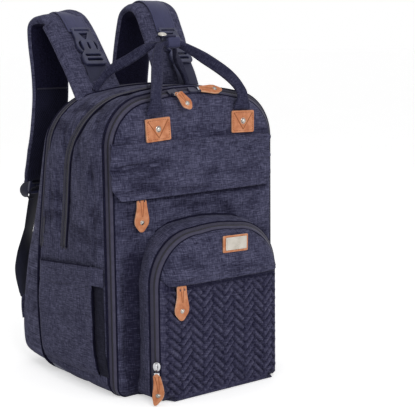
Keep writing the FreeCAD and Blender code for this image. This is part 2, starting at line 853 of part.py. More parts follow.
def strap_end():
    """Last point of the strap's padding and the direction it hangs in."""
    a = Vector(-strap_x, strap_path[-2][0], strap_path[-2][1])
    b = Vector(-strap_x, strap_path[-1][0], strap_path[-1][1])
    down = b - a
    down.normalize()
    return b, down


def ladder_lock():
    """Plate with three bars and two webbing slots, hung from the strap's end."""
    half = lock_width / 2
    plate = box(0.5, 0.5 + lock_length, -half, half, -lock_wall / 2, lock_wall / 2)
    corners = [e for e in plate.Edges if e.BoundBox.ZLength > 1]
    plate = plate.makeFillet(4.0, corners)
    slot = (lock_length - 3 * lock_bar) / 2
    for i in range(2):
        x = 0.5 + lock_bar + i * (slot + lock_bar)
        plate = plate.cut(box(x, x + slot, -half + 4, half - 4, -lock_wall, lock_wall))
    end, down = strap_end()
    out = Vector(0, -down.z, down.y)
    return placed(plate, end, down, out)


def adjuster():
    """Webbing from the ladder lock to the lower corner of the bag."""
    end, down = strap_end()
    start = end + down * (lock_length + 1.2)
    corner = Vector(-corner_x, corner_y, corner_z)
    points = [start, Vector(-strap_x - 22, 228, 196), Vector(-corner_x + 4, 214, 140),
              corner + Vector(-2, 24, tab_length + 8), corner + Vector(0, 13, 15.2)]
    return ribbon(points, (1, 0, 0), adjuster_width, adjuster_wall)


def corner_tabs():
    """Triangular fabric tabs sewn into the lower rear corners."""
    base = Vector(-corner_x, corner_y, corner_z)
    points = [base + Vector(-14, 12, 14), base + Vector(14, 12, 14), base + Vector(10, 0.5, -20),
              base + Vector(-4, 0.5, -20)]
    tab = Part.Face(Part.makePolygon(points + points[:1]))
    solid = tab.extrude(Vector(0, 2.0, 0.6))
    return Part.makeCompound([solid, mirrored(solid)])


# ---- write one file per node ------------------------------------------------------------

def build():
    nodes = {
        "gusset_shell": gusset_shell(),
        "lining": lining(),
        "back_panel": back_panel(),
        "back_mesh_pads": back_mesh_pads(),
        "rear_piping": rear_piping(),
        "base_board": base_board(),
        "divider": divider(),
        "organiser_pocket": organiser_pocket(),
        "front_zip_tape": front_zip_tape(),
        "front_zip_top_tape": front_zip_top_tape(),
        "front_panel": front_panel(),
        "front_panel_top": front_panel_top(),
        "middle_zip_tape": middle_zip_tape(),
        "left_side_pocket": side_pocket(),
        "right_side_pocket": mirrored(side_pocket()),
        "left_patch": patch(),
        "right_patch": mirrored(patch()),
        "patch_rivets": patch_rivets(),
        "pocket_gusset": pocket_gusset(),
        "arch_zip_tape": arch_zip_tape(),
        "arch_zip_face_tape": arch_zip_face_tape(),
        "pocket_face": pocket_face(),
        "label_leather": label_leather(),
        "label_plate": label_plate(),
        "upper_flap": upper_flap(),
        "upper_zip_tape": upper_zip_tape(),
        "pocket_flap": pocket_flap(),
        "quilt_zip_tape": quilt_zip_tape(),
        "front_handle": front_handle(),
        "rear_handle": rear_handle(),
        "handle_wrap": handle_wrap(),
        "wrap_flap": wrap_flap(),
        "wrap_snap": wrap_snap(),
        "corner_tabs": corner_tabs(),
    }
    place = buckle_frame()
    pairs = {
        "shoulder_strap": shoulder_strap(),
        "strap_webbing": strap_webbing(),
        "male_buckle": placed(male_buckle(), *place),
        "female_buckle": placed(female_buckle(), *place),
        "buckle_webbing": buckle_webbing(),
        "ladder_lock": ladder_lock(),
        "adjuster_webbing": adjuster(),
    }
    for name, shape in pairs.items():
        nodes["left_" + name] = shape
        nodes["right_" + name] = mirrored(shape)
    for name in pull_rest:
        body, leather = slider_and_pull(name)
        nodes[name + "_slider"] = body
        nodes[name + "_pull"] = leather
    return nodes


for node, shape in build().items():
    shape.exportStep("parts/" + node + ".step")
    if not shape.isValid():
        print("not valid:", node)
    print(node, len(shape.Solids), round(shape.Volume / 1000, 2), "cm3")
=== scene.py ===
import bmesh
import bpy
import math
import numpy as np
from mathutils import Euler, Matrix, Vector


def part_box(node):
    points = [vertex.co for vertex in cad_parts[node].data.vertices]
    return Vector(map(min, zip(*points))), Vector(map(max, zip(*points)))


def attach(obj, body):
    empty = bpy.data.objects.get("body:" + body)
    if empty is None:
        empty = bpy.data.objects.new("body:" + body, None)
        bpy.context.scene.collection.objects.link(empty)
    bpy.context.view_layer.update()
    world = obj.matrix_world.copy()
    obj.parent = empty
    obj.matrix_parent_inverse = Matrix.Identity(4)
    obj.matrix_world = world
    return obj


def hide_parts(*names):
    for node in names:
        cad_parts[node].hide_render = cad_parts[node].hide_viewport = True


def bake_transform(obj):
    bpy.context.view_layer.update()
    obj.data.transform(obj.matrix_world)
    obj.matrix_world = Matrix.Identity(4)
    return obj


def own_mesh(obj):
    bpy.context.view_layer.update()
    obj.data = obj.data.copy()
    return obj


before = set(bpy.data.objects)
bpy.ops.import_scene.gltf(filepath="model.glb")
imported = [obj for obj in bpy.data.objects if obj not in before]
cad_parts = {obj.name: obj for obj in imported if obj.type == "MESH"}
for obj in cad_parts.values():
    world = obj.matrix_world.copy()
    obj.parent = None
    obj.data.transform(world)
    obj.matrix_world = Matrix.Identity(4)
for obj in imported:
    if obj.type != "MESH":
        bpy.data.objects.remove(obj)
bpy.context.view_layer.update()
MM = 0.001

# ---- camera ----------------------------------------------------------------------------

camera = bpy.data.objects.new("camera", bpy.data.cameras.new("camera"))
camera.location = (-0.95361, -1.33691, 0.48980)
camera.rotation_euler = Euler([math.radians(a) for a in (81.5425, 0.60279, -38.09186)])
camera.data.lens = 95.42
camera.data.sensor_width = 36.0
bpy.context.scene.collection.objects.link(camera)
bpy.context.scene.camera = camera

# ---- materials -------------------------------------------------------------------------


def linear(code):
    """An sRGB hex colour as linear RGBA."""
    parts = [int(code[i:i + 2], 16) / 255 for i in (1, 3, 5)]
    return [((c + 0.055) / 1.055) ** 2.4 if c > 0.04045 else c / 12.92 for c in parts] + [1.0]


def add(tree, kind, inputs=None, **settings):
    """Adds one shader node with its settings, and sets or links its inputs."""
    node = tree.nodes.new("ShaderNode" + kind)
    for key, value in settings.items():
        setattr(node, key, value)
    for key, value in (inputs or {}).items():
        if isinstance(value, bpy.types.NodeSocket):
            tree.links.new(value, node.inputs[key])
        else:
            node.inputs[key].default_value = value
    return node


def finish(name, **shader):
    """A new material with its shader, ready for its colour and relief."""
    made = bpy.data.materials.new(name)
    made.use_nodes = True
    tree = made.node_tree
    tree.nodes.clear()
    shade = add(tree, "BsdfPrincipled", {k.replace("_", " "): v for k, v in shader.items()})
    add(tree, "OutputMaterial", {"Surface": shade.outputs[0]})
    return made, tree, shade


def colour_by(tree, shade, factor, stops):
    """Colours a surface from a pattern, through a few hex colours."""
    ramp = add(tree, "ValToRGB", {"Fac": factor})
    for _ in stops[2:]:
        ramp.color_ramp.elements.new(0.5)
    for element, (place, code) in zip(ramp.color_ramp.elements, stops):
        element.position = place
        element.color = linear(code)
    tree.links.new(ramp.outputs[0], shade.inputs["Base Color"])


def relief(tree, shade, height, depth, strength=0.5):
    """Relief from a pattern, its depth in metres."""
    made = add(tree, "Bump", {"Height": height, "Distance": depth, "Strength": strength})
    tree.links.new(made.outputs[0], shade.inputs["Normal"])


def total(tree, shares):
    """Adds up patterns, each with its share."""
    found = None
    for pattern, share in shares:
        part = add(tree, "Math", {0: pattern, 1: share}, operation="MULTIPLY").outputs[0]
        if found is None:
            found = part
        else:
            found = add(tree, "Math", {0: found, 1: part}, operation="ADD").outputs[0]
    return found


def threads(tree, where, across, along):
    """Fibre streaks, so many to the metre across and along."""
    mapped = add(tree, "Mapping", {"Vector": where, "Scale": (across, along, 1.0)})
    made = add(tree, "TexNoise", {"Vector": mapped.outputs[0], "Scale": 1.0, "Detail": 3.0, "Roughness": 0.65})
    return made.outputs["Fac"]


def heather_cloth(name, dark, middle, light):
    """Polyester canvas woven from slubby two-tone yarn: matt, with short streaks both ways.

    The real yarn is 0.4 mm thick. It is drawn about 1.1 mm thick, so that it shows.
    """
    made, tree, shade = finish(name, Roughness=0.95, Sheen_Weight=0.03, Sheen_Roughness=0.5, Specular_IOR_Level=0.08)
    where = add(tree, "TexCoord").outputs["UV"]
    warp = threads(tree, where, 900, 105)
    weft = threads(tree, where, 95, 920)
    slub = threads(tree, where, 430, 40)
    cross_slub = threads(tree, where, 34, 450)
    cloudy = threads(tree, where, 35, 35)
    tone = total(tree, [(warp, 0.27), (weft, 0.33), (slub, 0.13), (cross_slub, 0.17), (cloudy, 0.10)])
    # painted shade: the cloth is drawn darker in its creases, where it is sewn down and in other places that lie in
    # shade
    crease_and_painted_shade = add(tree, "Attribute", attribute_name="crease_and_painted_shade").outputs["Fac"]
    tone = total(tree, [(tone, 1.0), (crease_and_painted_shade, -0.085)])
    colour_by(tree, shade, tone, [(0.405, dark), (0.495, middle), (0.585, light)])
    relief(tree, shade, tone, 0.0012, 0.5)
    return made


def woven_tape(name, dark, light, rib=1.6, roughness=0.7):
    """Woven tape: smooth and even, with ribs along its length, rib millimetres apart."""
    made, tree, shade = finish(name, Roughness=roughness, Sheen_Weight=0.12, Specular_IOR_Level=0.3)
    where = add(tree, "TexCoord").outputs["UV"]
    # at a scale of 1 the bands lie 2 pi / 20 of a metre apart
    pace = 2 * math.pi / 20 / (rib * MM)
    ribs = add(tree, "TexWave", {"Vector": where, "Scale": pace}, bands_direction="X")
    cross = add(tree, "TexWave", {"Vector": where, "Scale": pace}, bands_direction="Y")
    soft = threads(tree, where, 90, 25)
    tone = total(tree, [(ribs.outputs["Fac"], 0.18), (cross.outputs["Fac"], 0.12), (soft, 0.7)])
    colour_by(tree, shade, tone, [(0.3, dark), (0.7, light)])
    relief(tree, shade, tone, 0.0006, 0.4)
    return made


def air_mesh():
    """Spacer mesh on the inner side of straps and back: matt, dark, with rows of open holes 3 mm apart."""
    made, tree, shade = finish("dark_spacer_mesh", Roughness=0.95, Specular_IOR_Level=0.1)
    where = add(tree, "TexCoord").outputs["UV"]
    mapped = add(tree, "Mapping", {"Vector": where, "Scale": (340, 260, 1), "Rotation": (0, 0, math.pi / 4)})
    holes = add(tree, "TexVoronoi", {"Vector": mapped.outputs[0], "Scale": 1.0, "Randomness": 0.1})
    soft = threads(tree, where, 30, 30)
    tone = total(tree, [(holes.outputs["Distance"], 0.7), (soft, 0.3)])
    colour_by(tree, shade, tone, [(0.25, "#0f0f1b"), (0.6, "#29293f")])
    relief(tree, shade, holes.outputs["Distance"], 0.001, 0.6)
    return made


def tanned_leather(name, dark, middle, light, roughness):
    """Smooth tanned cowhide: waxy, with a slow change of tone, and pores drawn 0.8 mm apart so that they show."""
    made, tree, shade = finish(name, Roughness=roughness, Coat_Weight=0.1, Coat_Roughness=0.4)
    where = add(tree, "TexCoord").outputs["Object"]
    tone = add(tree, "TexNoise", {"Vector": where, "Scale": 120.0, "Detail": 4.0}).outputs["Fac"]
    pores = add(tree, "TexVoronoi", {"Vector": where, "Scale": 1200.0}).outputs["Distance"]
    colour_by(tree, shade, tone, [(0.32, dark), (0.5, middle), (0.68, light)])
    relief(tree, shade, total(tree, [(pores, 0.5), (tone, 0.5)]), 0.0004, 0.35)
    return made


def polished_metal(name, code, shadow, roughness):
    """Plated zinc alloy: bright, with faint wear that dulls the gloss in patches 14 mm wide."""
    made, tree, shade = finish(name, Metallic=1.0)
    where = add(tree, "TexCoord").outputs["Object"]
    wear = add(tree, "TexNoise", {"Vector": where, "Scale": 70.0, "Detail": 2.0}).outputs["Fac"]
    colour_by(tree, shade, wear, [(0.35, shadow), (0.65, code)])
    dull = add(tree, "MapRange", {"Value": wear, "To Min": roughness, "To Max": roughness + 0.14})
    tree.links.new(dull.outputs[0], shade.inputs["Roughness"])
    return made


def moulded_plastic(name, dark, light):
    """Injection-moulded nylon: half gloss, with a spark-eroded grain, drawn 0.7 mm coarse so that it shows."""
    made, tree, shade = finish(name, Roughness=0.4, Specular_IOR_Level=0.45)
    where = add(tree, "TexCoord").outputs["Object"]
    grain = add(tree, "TexNoise", {"Vector": where, "Scale": 1400.0, "Detail": 2.0}).outputs["Fac"]
    tone = add(tree, "TexNoise", {"Vector": where, "Scale": 70.0, "Detail": 2.0}).outputs["Fac"]
    colour_by(tree, shade, tone, [(0.35, dark), (0.65, light)])
    relief(tree, shade, grain, 0.0002, 0.3)
    return made


def plain_weave(name, dark, light, roughness=0.85):
    """Thin plain-weave cloth, matt, its threads drawn 1.7 mm apart so that they show."""
    made, tree, shade = finish(name, Roughness=roughness, Specular_IOR_Level=0.1)
    where = add(tree, "TexCoord").outputs["Object"]
    weave = add(tree, "TexNoise", {"Vector": where, "Scale": 600.0, "Detail": 3.0}).outputs["Fac"]
    colour_by(tree, shade, weave, [(0.35, dark), (0.65, light)])
    relief(tree, shade, weave, 0.0004, 0.4)
    return made


# navy canvas of the body, the flaps and the straps
CANVAS = heather_cloth("navy_heather_canvas", "#201f32", "#424259", "#666680")
# the same canvas quilted on the pocket
QUILTED = heather_cloth("navy_quilted_canvas", "#24233a", "#43425a", "#64637b")
# darker canvas of the grips
GRIP_CANVAS = heather_cloth("navy_grip_canvas", "#1a1a2b", "#303046", "#4b4b62")
# smooth zip tape, a little redder than the canvas
ZIP_TAPE = woven_tape("purplish_navy_zip_tape", "#37354a", "#4c4a5f")
# the outer tape, which lies in shade behind the coil
OUTER_TAPE = woven_tape("shaded_navy_zip_tape", "#282638", "#3a384b")
# nylon coil in the groove between two tapes
COIL = woven_tape("dark_nylon_coil", "#111019", "#23212d", 1.8, 0.5)
# 38 mm webbing on the straps
WEBBING = woven_tape("navy_polyester_webbing", "#303150", "#3f4062", 2.4, 0.66)
# webbing under each buckle
SHADED_WEBBING = woven_tape("shaded_navy_webbing", "#222339", "#303149", 2.4, 0.75)
# adjuster webbing
DARK_WEBBING = woven_tape("dark_navy_webbing", "#10111f", "#20223a", 2.2, 0.7)
# dark binding on cords and seams, also drawn on the tapes under the flaps as their painted shadow
BINDING = woven_tape("dark_navy_binding", "#1b1a29", "#2e2c40", 1.4, 0.8)
# sewing thread on the canvas
THREAD = woven_tape("navy_thread", "#2e2d42", "#504f68", 0.8, 0.7)
# padding cover on the inner side of the straps and on the back
MESH = air_mesh()
# zip pulls, patches and the frame of the label
LEATHER = tanned_leather("tan_cowhide", "#b5683d", "#c67c50", "#d58f66", 0.5)
LEATHER_EDGE = tanned_leather("tan_cowhide_cut_edge", "#cd8a60", "#dba27d", "#e6b596", 0.62)
# waxed thread on the leather
TAN_THREAD = woven_tape("tan_thread", "#7d4019", "#a15c2e", 0.8, 0.7)
# bright fittings of the zips
SLIDER_METAL = polished_metal("satin_nickel_plate", "#dcdcde", "#bcbcc0", 0.18)
# rivets and the snap, a little tarnished
AGED_NICKEL = polished_metal("tarnished_nickel_plate", "#bdb9b2", "#85817b", 0.14)
# sliders lacquered to match the tape
LACQUER = moulded_plastic("navy_lacquered_slider", "#24243a", "#33334a")
# blank plate of the label
PLATE = polished_metal("brushed_champagne_plate", "#c2bcb3", "#b1aba1", 0.22)
# buckles and ladder locks
PLASTIC = moulded_plastic("navy_moulded_nylon", "#282943", "#343654")
# lining, divider and organiser pockets
LINING = plain_weave("grey_polyester_lining", "#7b7d8c", "#9a9caa")
# canvas in the gap before each side pocket, drawn dark as painted shade
SHADED_CANVAS = heather_cloth("navy_shaded_canvas", "#0f0f1b", "#21212f", "#343445")
# dark navy cloth on the upper backs of the straps; on the seam cords, the pleats and the rims it stands for their
# shade, as painted shade
DARK_CLOTH = plain_weave("shaded_navy_cloth", "#100f1e", "#1f1e36", 0.95)
# stiffener on the floor of the bag
BOARD = plain_weave("covered_fibre_board", "#2d2d37", "#40404b", 0.6)

# ---- curves of the bag, in millimetres ---------------------------------------------

BODY = dict(half=150.0, top=430.0, crown=9.0, shoulder=65.0, drop=76.0, foot=25.0, base=0.0)
POCKET = dict(half=114.0, top=240.0, crown=3.0, shoulder=74.0, drop=74.0, foot=12.0, base=2.0)
SEAM_FRONT = -78.0
BAND_DEPTH = 16.0
BAND_INSET = 14.0
PANEL_Y = -98.0
POCKET_SEAM_Y = -130.0
POCKET_Y = -154.0
REAR_SEAM = [(38, 430), (66, 362), (88, 260), (108, 135), (104, 45), (84, 0)]
REAR_FACE = [(54, 428), (86, 362), (122, 250), (157, 160), (175, 85), (177, 35), (163, 6)]
MIDDLE_SEAM = [(-45, 430), (-15, 375), (-1, 353), (12, 325), (22, 255), (32, 197)]
MIDDLE_ZIP_FOOT = 197.0
REAR_ZIP_FOOT = 190.0
SIDE_X = 150.2
# how far the rear edge of the base tucks up
BASE_TUCK = 5.0
# the roof of the front pocket rises to its root, and its sides lean in
ROOF_RISE = 5.0
WALL_LEAN = 8.0
# shares of the sloping zip band's width: its coil, and where the canvas inside it begins
ZIP_MIDDLE = 0.36
ZIP_TO = 0.66
EDGE_INSET = BAND_INSET * ZIP_TO
# share of the width and height above the band: a raised lip on each side of the coil's groove
BAND_PROFILE = [(0.05, -1.6), (0.08, 0.3), (0.12, 1.2), (0.20, 1.4), (0.28, 0.9), (0.31, 0.6), (0.33, -0.9),
                (0.36, -1.8), (0.39, -0.9), (0.41, 0.6), (0.44, 1.0), (0.52, 1.5), (0.59, 1.3), (0.64, 0.3),
                (0.67, -1.6)]
# grid columns round a whole outline, and their shares of it
ROUND = 372
AROUND = np.linspace(0, 1, ROUND + 1)[:-1]


def step(x, a, b):
    """0 before a, 1 after b, smooth between them."""
    t = np.clip((np.asarray(x, float) - a) / (b - a), 0.0, 1.0)
    return t * t * (3 - 2 * t)


def eased(t):
    """Shares from 0 to 1 that lie closer together near both ends."""
    return 0.5 - 0.5 * np.cos(t * math.pi)


def hand(side):
    """The word for a side of the bag, which is -1 or 1."""
    return "left" if side < 0 else "right"


def folds(u, v, size_u, size_v, seed):
    """Smooth random height from -1 to 1, with folds of the given size."""
    table = np.random.default_rng(seed).uniform(-1, 1, (64, 64))
    x = np.asarray(u, float) / size_u + 200.3
    y = np.asarray(v, float) / size_v + 200.1
    i = np.floor(x).astype(int)
    j = np.floor(y).astype(int)
    a = x - i
    b = y - j
    a = a * a * a * (a * (a * 6 - 15) + 10)
    b = b * b * b * (b * (b * 6 - 15) + 10)
    near = table[i % 64, j % 64] * (1 - a) + table[(i + 1) % 64, j % 64] * a
    far = table[i % 64, (j + 1) % 64] * (1 - a) + table[(i + 1) % 64, (j + 1) % 64] * a
    return near * (1 - b) + far * b


def creases(u, v, size_u, size_v, seed, width=0.32):
    """Narrow valleys from 0 to 1, which follow long broken lines."""
    line = folds(u, v, size_u, size_v, seed)
    broken = step(folds(u, v, size_u * 0.7, size_v * 2.2, seed + 7), -0.25, 0.35)
    return np.exp(-(line / width) ** 2) * broken


def lengths(path):
    """Distance along a path at each of its points."""
    return np.r_[0, np.cumsum(np.linalg.norm(np.diff(path, axis=0), axis=1))]


def even(path, count):
    """The same path with count points at even distances."""
    run = lengths(path)
    return np.stack([np.interp(np.linspace(0, run[-1], count), run, path[:, k]) for k in range(path.shape[1])], 1)


def smooth_curve(points, count=120):
    """Smooth curve through the points, with count points at even distances."""
    p = np.asarray(points, float)
    p = np.vstack([2 * p[0] - p[1], p, 2 * p[-1] - p[-2]])
    out = []
    t = np.linspace(0, 1, 30, endpoint=False)[:, None]
    for a, b, c, d in zip(p, p[1:], p[2:], p[3:]):
        out.append(0.5 * (2 * b + (c - a) * t + (2 * a - 5 * b + 4 * c - d) * t ** 2
                          + (3 * b - a - 3 * c + d) * t ** 3))
    return even(np.vstack(out + [p[-2][None]]), count)


def corner_turn(before, here, after, radius, most, steps):
    """Points that round off one corner, kept within a share of both legs."""
    a = before - here
    b = after - here
    r = min(radius, np.linalg.norm(a) * most, np.linalg.norm(b) * most)
    t = np.linspace(0, 1, steps)[:, None]
    return here + unit(a) * r * (1 - t) ** 2 + unit(b) * r * t ** 2


def soft_corners(points, radius, steps=5):
    """A polygon with its corners rounded."""
    p = np.asarray(points, float)
    return np.vstack([corner_turn(before, here, after, radius, 0.45, steps)
                      for before, here, after in zip(np.roll(p, 1, 0), p, np.roll(p, -1, 0))])


def bent(points, radius, count):
    """A path with its corners rounded, as evenly spaced points."""
    p = np.asarray(points, float)
    turns = [corner_turn(before, here, after, radius, 0.48, 12) for before, here, after in zip(p, p[1:], p[2:])]
    return even(np.vstack([p[:1], *turns, p[-1:]]), count)


def unit(v):
    """The same directions, each with a length of 1."""
    v = np.asarray(v, float)
    return v / np.maximum(np.linalg.norm(v, axis=-1, keepdims=True), 1e-9)


def depth_at(seam, z):
    """y of a side seam at height z."""
    line = smooth_curve(seam, 200)[::-1]
    return np.interp(z, line[:, 1], line[:, 0])


def arc(a, b, c, count):
    """Points on the arc from a through b to c, without its last point."""
    (ax, az), (bx, bz), (cx, cz) = a, b, c
    d = 2 * (ax * (bz - cz) + bx * (cz - az) + cx * (az - bz))
    aa, bb, cc = ax * ax + az * az, bx * bx + bz * bz, cx * cx + cz * cz
    x = (aa * (bz - cz) + bb * (cz - az) + cc * (az - bz)) / d
    z = (aa * (cx - bx) + bb * (ax - cx) + cc * (bx - ax)) / d
    turn = np.unwrap([math.atan2(q[1] - z, q[0] - x) for q in (a, b, c)])
    t = np.linspace(turn[0], turn[2], count, endpoint=False)
    r = math.hypot(ax - x, az - z)
    return np.stack([x + r * np.cos(t), z + r * np.sin(t)], 1)


def run_to(a, b, count):
    """Points from a straight toward b, without b."""
    t = np.linspace(0, 1, count, endpoint=False)[:, None]
    return np.asarray(a, float) * (1 - t) + np.asarray(b, float) * t


def arch(shape, inset=0.0):
    """Outline of an arched panel from the middle of its base up the left side, over and back, as (x, z)."""
    w = shape["half"] - inset
    t = shape["top"] - inset
    base = shape["base"]
    r = max(shape["foot"] - inset, 2.0)
    k = w - shape["shoulder"]
    shoulder = t - shape["crown"]
    low = shoulder - shape["drop"] + inset
    s = math.sin(math.pi / 4)
    bend = r * (1 - s)
    corner = (-k - shape["shoulder"] * s, low + (shoulder - low) * s)
    left = np.vstack([run_to((0, base), (-w + r, base), 16),
                      arc((-w + r, base), (-w + bend, base + bend), (-w, base + r), 10),
                      run_to((-w, base + r), (-w, low), 50),
                      arc((-w, low), corner, (-k, shoulder), 28),
                      arc((-k, shoulder), (-k / 2, shoulder + shape["crown"] * 0.75), (0, t), 24)])
    line = np.vstack([left, [[0, t]], (left * [-1, 1])[:0:-1]])
    for _ in range(2):
        line = (np.roll(line, 1, 0) + 2 * line + np.roll(line, -1, 0)) / 4
    return np.vstack([line, line[:1]])


def on_arch(shape, inset, u):
    """Point and outward normal of an arched outline at u, from 0 to 1."""
    line = arch(shape, inset)
    along = np.linspace(0, 1, len(line))
    slope = np.roll(line[:-1], -1, 0) - np.roll(line[:-1], 1, 0)
    out = unit(np.stack([-slope[:, 1], slope[:, 0]], 1))
    out = np.vstack([out, out[:1]])
    at = lambda table: np.stack([np.interp(u, along, table[:, k]) for k in (0, 1)], 1)
    return at(line), unit(at(out))


def share_at(shape, inset, height):
    """u of the left side of an outline at a height."""
    line = arch(shape, inset)
    # past the base and the lower corner the height only rises
    rising = slice(30, len(line) // 2)
    return np.interp(height, line[rising, 1], np.linspace(0, 1, len(line))[rising])


# ---- ways to make a piece -------------------------------------------------------------


def settle(name, bm, finishes, body, rides=True):
    """Turns a bmesh in metres into a piece that rides on a body."""
    made = bpy.data.meshes.new(name)
    bm.to_mesh(made)
    bm.free()
    for one in finishes if isinstance(finishes, (list, tuple)) else [finishes]:
        made.materials.append(one)
    piece = bpy.data.objects.new(name, made)
    bpy.context.scene.collection.objects.link(piece)
    if rides:
        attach(piece, body)
    return piece


def cloth(name, across, along, place, finishes, body, inside=(0, 0, 200), weld=False, ends=False, rides=True,
          choose=None, cut=None):
    """A grid of cloth laid where place(u, v) says, in millimetres, with its real size as its UV map.

    The weave runs along the grid, or, for a panel cut from flat cloth, upright ("panel"), or round the bag ("round").
    place may add a fourth value, from 0 to 1, for how much painted shade darkens the cloth there.
    """
    bm = bmesh.new()
    bmesh.ops.create_grid(bm, x_segments=across, y_segments=along, size=0.5)
    at = np.array([v.co[:2] for v in bm.verts]) + 0.5
    laid = np.asarray(place(at[:, 0], at[:, 1]), float)
    points = laid[:, :3]
    i = np.rint(at[:, 0] * across).astype(int)
    j = np.rint(at[:, 1] * along).astype(int)
    table = np.empty((across + 1, along + 1, 3))
    table[i, j] = points
    rows = [lengths(table[:, k]) for k in range(0, along + 1, max(along // 6, 1))]
    columns = [lengths(table[k]) for k in range(0, across + 1, max(across // 6, 1))]
    wide = max(rows, key=lambda r: r[-1])
    tall = max(columns, key=lambda r: r[-1])
    shift = (sum(map(ord, name)) % 97) * 0.013
    flat = np.stack([points[:, 0] if cut == "panel" else wide[i],
                     {"panel": points[:, 2], "round": points[:, 1]}.get(cut, tall[j])], 1) * MM + shift
    layer = bm.loops.layers.uv.new("UVMap")
    # the fourth value is kept for the canvas as painted shade
    crease_and_painted_shade = bm.verts.layers.float.new("crease_and_painted_shade")
    for vertex, p, depth in zip(bm.verts, points * MM, laid[:, 3] if laid.shape[1] > 3 else points[:, 0] * 0):
        vertex.co = p
        vertex[crease_and_painted_shade] = depth
    for face in bm.faces:
        face.smooth = True
        for loop in face.loops:
            loop[layer].uv = flat[loop.vert.index]
    if choose is not None:
        picks = choose(at[:, 0], at[:, 1])
        for face in bm.faces:
            face.material_index = int(picks[[v.index for v in face.verts]].min())
    if weld:
        bmesh.ops.remove_doubles(bm, verts=bm.verts[:], dist=1e-6)
    if ends:
        bmesh.ops.holes_fill(bm, edges=bm.edges[:], sides=0)
    if inside is None:
        bmesh.ops.recalc_face_normals(bm, faces=bm.faces[:])
    else:
        bm.normal_update()
        core = Vector(inside) * MM
        if sum(f.normal.dot(f.calc_center_median() - core) * f.calc_area() for f in bm.faces) < 0:
            bmesh.ops.reverse_faces(bm, faces=bm.faces[:])
    return settle(name, bm, finishes, body, rides)


def wall(piece, thickness, inward=True):
    """Gives a sheet its thickness in millimetres."""
    made = piece.modifiers.new("wall", "SOLIDIFY")
    made.thickness = thickness * MM
    made.offset = -1.0 if inward else 0.0
    return piece


def rounded(piece, width):
    """Rounds the sharp edges of a piece."""
    made = piece.modifiers.new("edge", "BEVEL")
    made.width = width * MM
    made.segments = 2
    made.limit_method = "ANGLE"
    made.angle_limit = math.radians(40)


def section(width, height, radius, corner=4):
    """Closed section with rounded corners, from the middle of its outer face round."""
    w = width / 2 - radius
    h = height / 2 - radius
    pts = []
    for x, y, start in ((w, h, 90), (w, -h, 0), (-w, -h, -90), (-w, h, -180)):
        for k in range(corner + 1):
            a = math.radians(start - 90 * k / corner)
            pts.append((x + radius * math.cos(a), y + radius * math.sin(a)))
    return np.array([(0, h + radius)] + pts)


def swept(name, path, side, profile, finishes, body, scale=None, rides=True, choose=None, closed=False):
    """A closed profile of (side, out) offsets carried along a path. side is a vector or one per point."""
    path = np.asarray(path, float)
    slope = np.roll(path, -1, 0) - np.roll(path, 1, 0) if closed else np.gradient(path, axis=0)
    t = unit(slope)
    s = np.broadcast_to(np.asarray(side, float), path.shape)
    s = unit(s - t * np.sum(s * t, 1, keepdims=True))
    n = np.cross(s, t)
    count = len(path) - (0 if closed else 1)
    grow = np.ones((len(path), 2)) if scale is None else np.asarray(scale, float)

    def place(u, v):
        a = np.rint(u * len(profile)).astype(int) % len(profile)
        b = np.rint(v * count).astype(int) % len(path)
        return path[b] + s[b] * (profile[a, :1] * grow[b, :1]) + n[b] * (profile[a, 1:] * grow[b, 1:])

    return cloth(name, len(profile), count, place, finishes, body, None, True, not closed, rides, choose)


def cut_piece(name, outline, thickness, place, face, edge, body, rim, holes=()):
    """A flat piece cut to an outline, with rounded rims, moved by a matrix. Sizes in millimetres."""
    flat = bpy.data.curves.new(name, "CURVE")
    flat.dimensions = "2D"
    flat.fill_mode = "BOTH"
    for loop in (outline, *holes):
        line = flat.splines.new("POLY")
        line.points.add(len(loop) - 1)
        line.use_cyclic_u = True
        for point, (x, y) in zip(line.points, loop):
            point.co = (x * MM, y * MM, 0, 1)
    flat.extrude = (thickness / 2 - rim) * MM
    flat.bevel_depth = rim * MM
    flat.bevel_resolution = 1
    flat.offset = -rim * MM
    source = bpy.data.objects.new(name, flat)
    bpy.context.scene.collection.objects.link(source)
    bpy.context.view_layer.update()
    made = bpy.data.meshes.new_from_object(source.evaluated_get(bpy.context.evaluated_depsgraph_get()))
    bpy.data.objects.remove(source)
    bpy.data.curves.remove(flat)
    made.materials.clear()
    bm = bmesh.new()
    bm.from_mesh(made)
    bpy.data.meshes.remove(made)
    bmesh.ops.remove_doubles(bm, verts=bm.verts[:], dist=1e-6)
    bmesh.ops.recalc_face_normals(bm, faces=bm.faces[:])
    for f in bm.faces:
        f.material_index = 0 if abs(f.normal.z) > 0.9 else 1
        f.smooth = abs(f.normal.z) < 0.9
    bmesh.ops.transform(bm, matrix=place, verts=bm.verts[:])
    return settle(name, bm, [face, edge], body)


def oblong(width, height, radius, x=0.0, y=0.0):
    """A rectangle with rounded corners, round a middle point."""
    w = width / 2
    h = height / 2
    return soft_corners([(x - w, y - h), (x + w, y - h), (x + w, y + h), (x - w, y + h)], radius)


def at_place(origin, x_axis, z_axis):
    """Matrix to a place in millimetres with the given own x and z directions."""
    x = Vector(x_axis).normalized()
    z = Vector(z_axis).normalized()
    y = z.cross(x)
    turn = Matrix((x, y, z)).transposed().to_4x4()
    return Matrix.Translation(Vector(origin) * MM) @ turn


def sewn(name, path, out, body, thread=THREAD, pitch=3.8, length=2.6, radius=0.35):
    """A row of stitches along a path, half sunk in the surface."""
    path = np.asarray(path, float)
    run = lengths(path)
    count = max(int(run[-1] / pitch), 1)
    ahead = np.broadcast_to(np.asarray(out, float), path.shape)
    bm = bmesh.new()
    for k in range(count):
        s = (k + 0.5) * run[-1] / count
        here, before, after, up = (Vector([np.interp(q, run, table[:, c]) for c in range(3)])
                                   for q, table in ((s, path), (s - 1, path), (s + 1, path), (s, ahead)))
        matrix = at_place(here, after - before, up)
        bmesh.ops.create_uvsphere(bm, u_segments=6, v_segments=4, radius=MM, calc_uvs=True,
                                  matrix=matrix @ Matrix.Diagonal((length / 2, radius, radius, 1)))
    for f in bm.faces:
        f.smooth = True
    return settle(name, bm, thread, body)


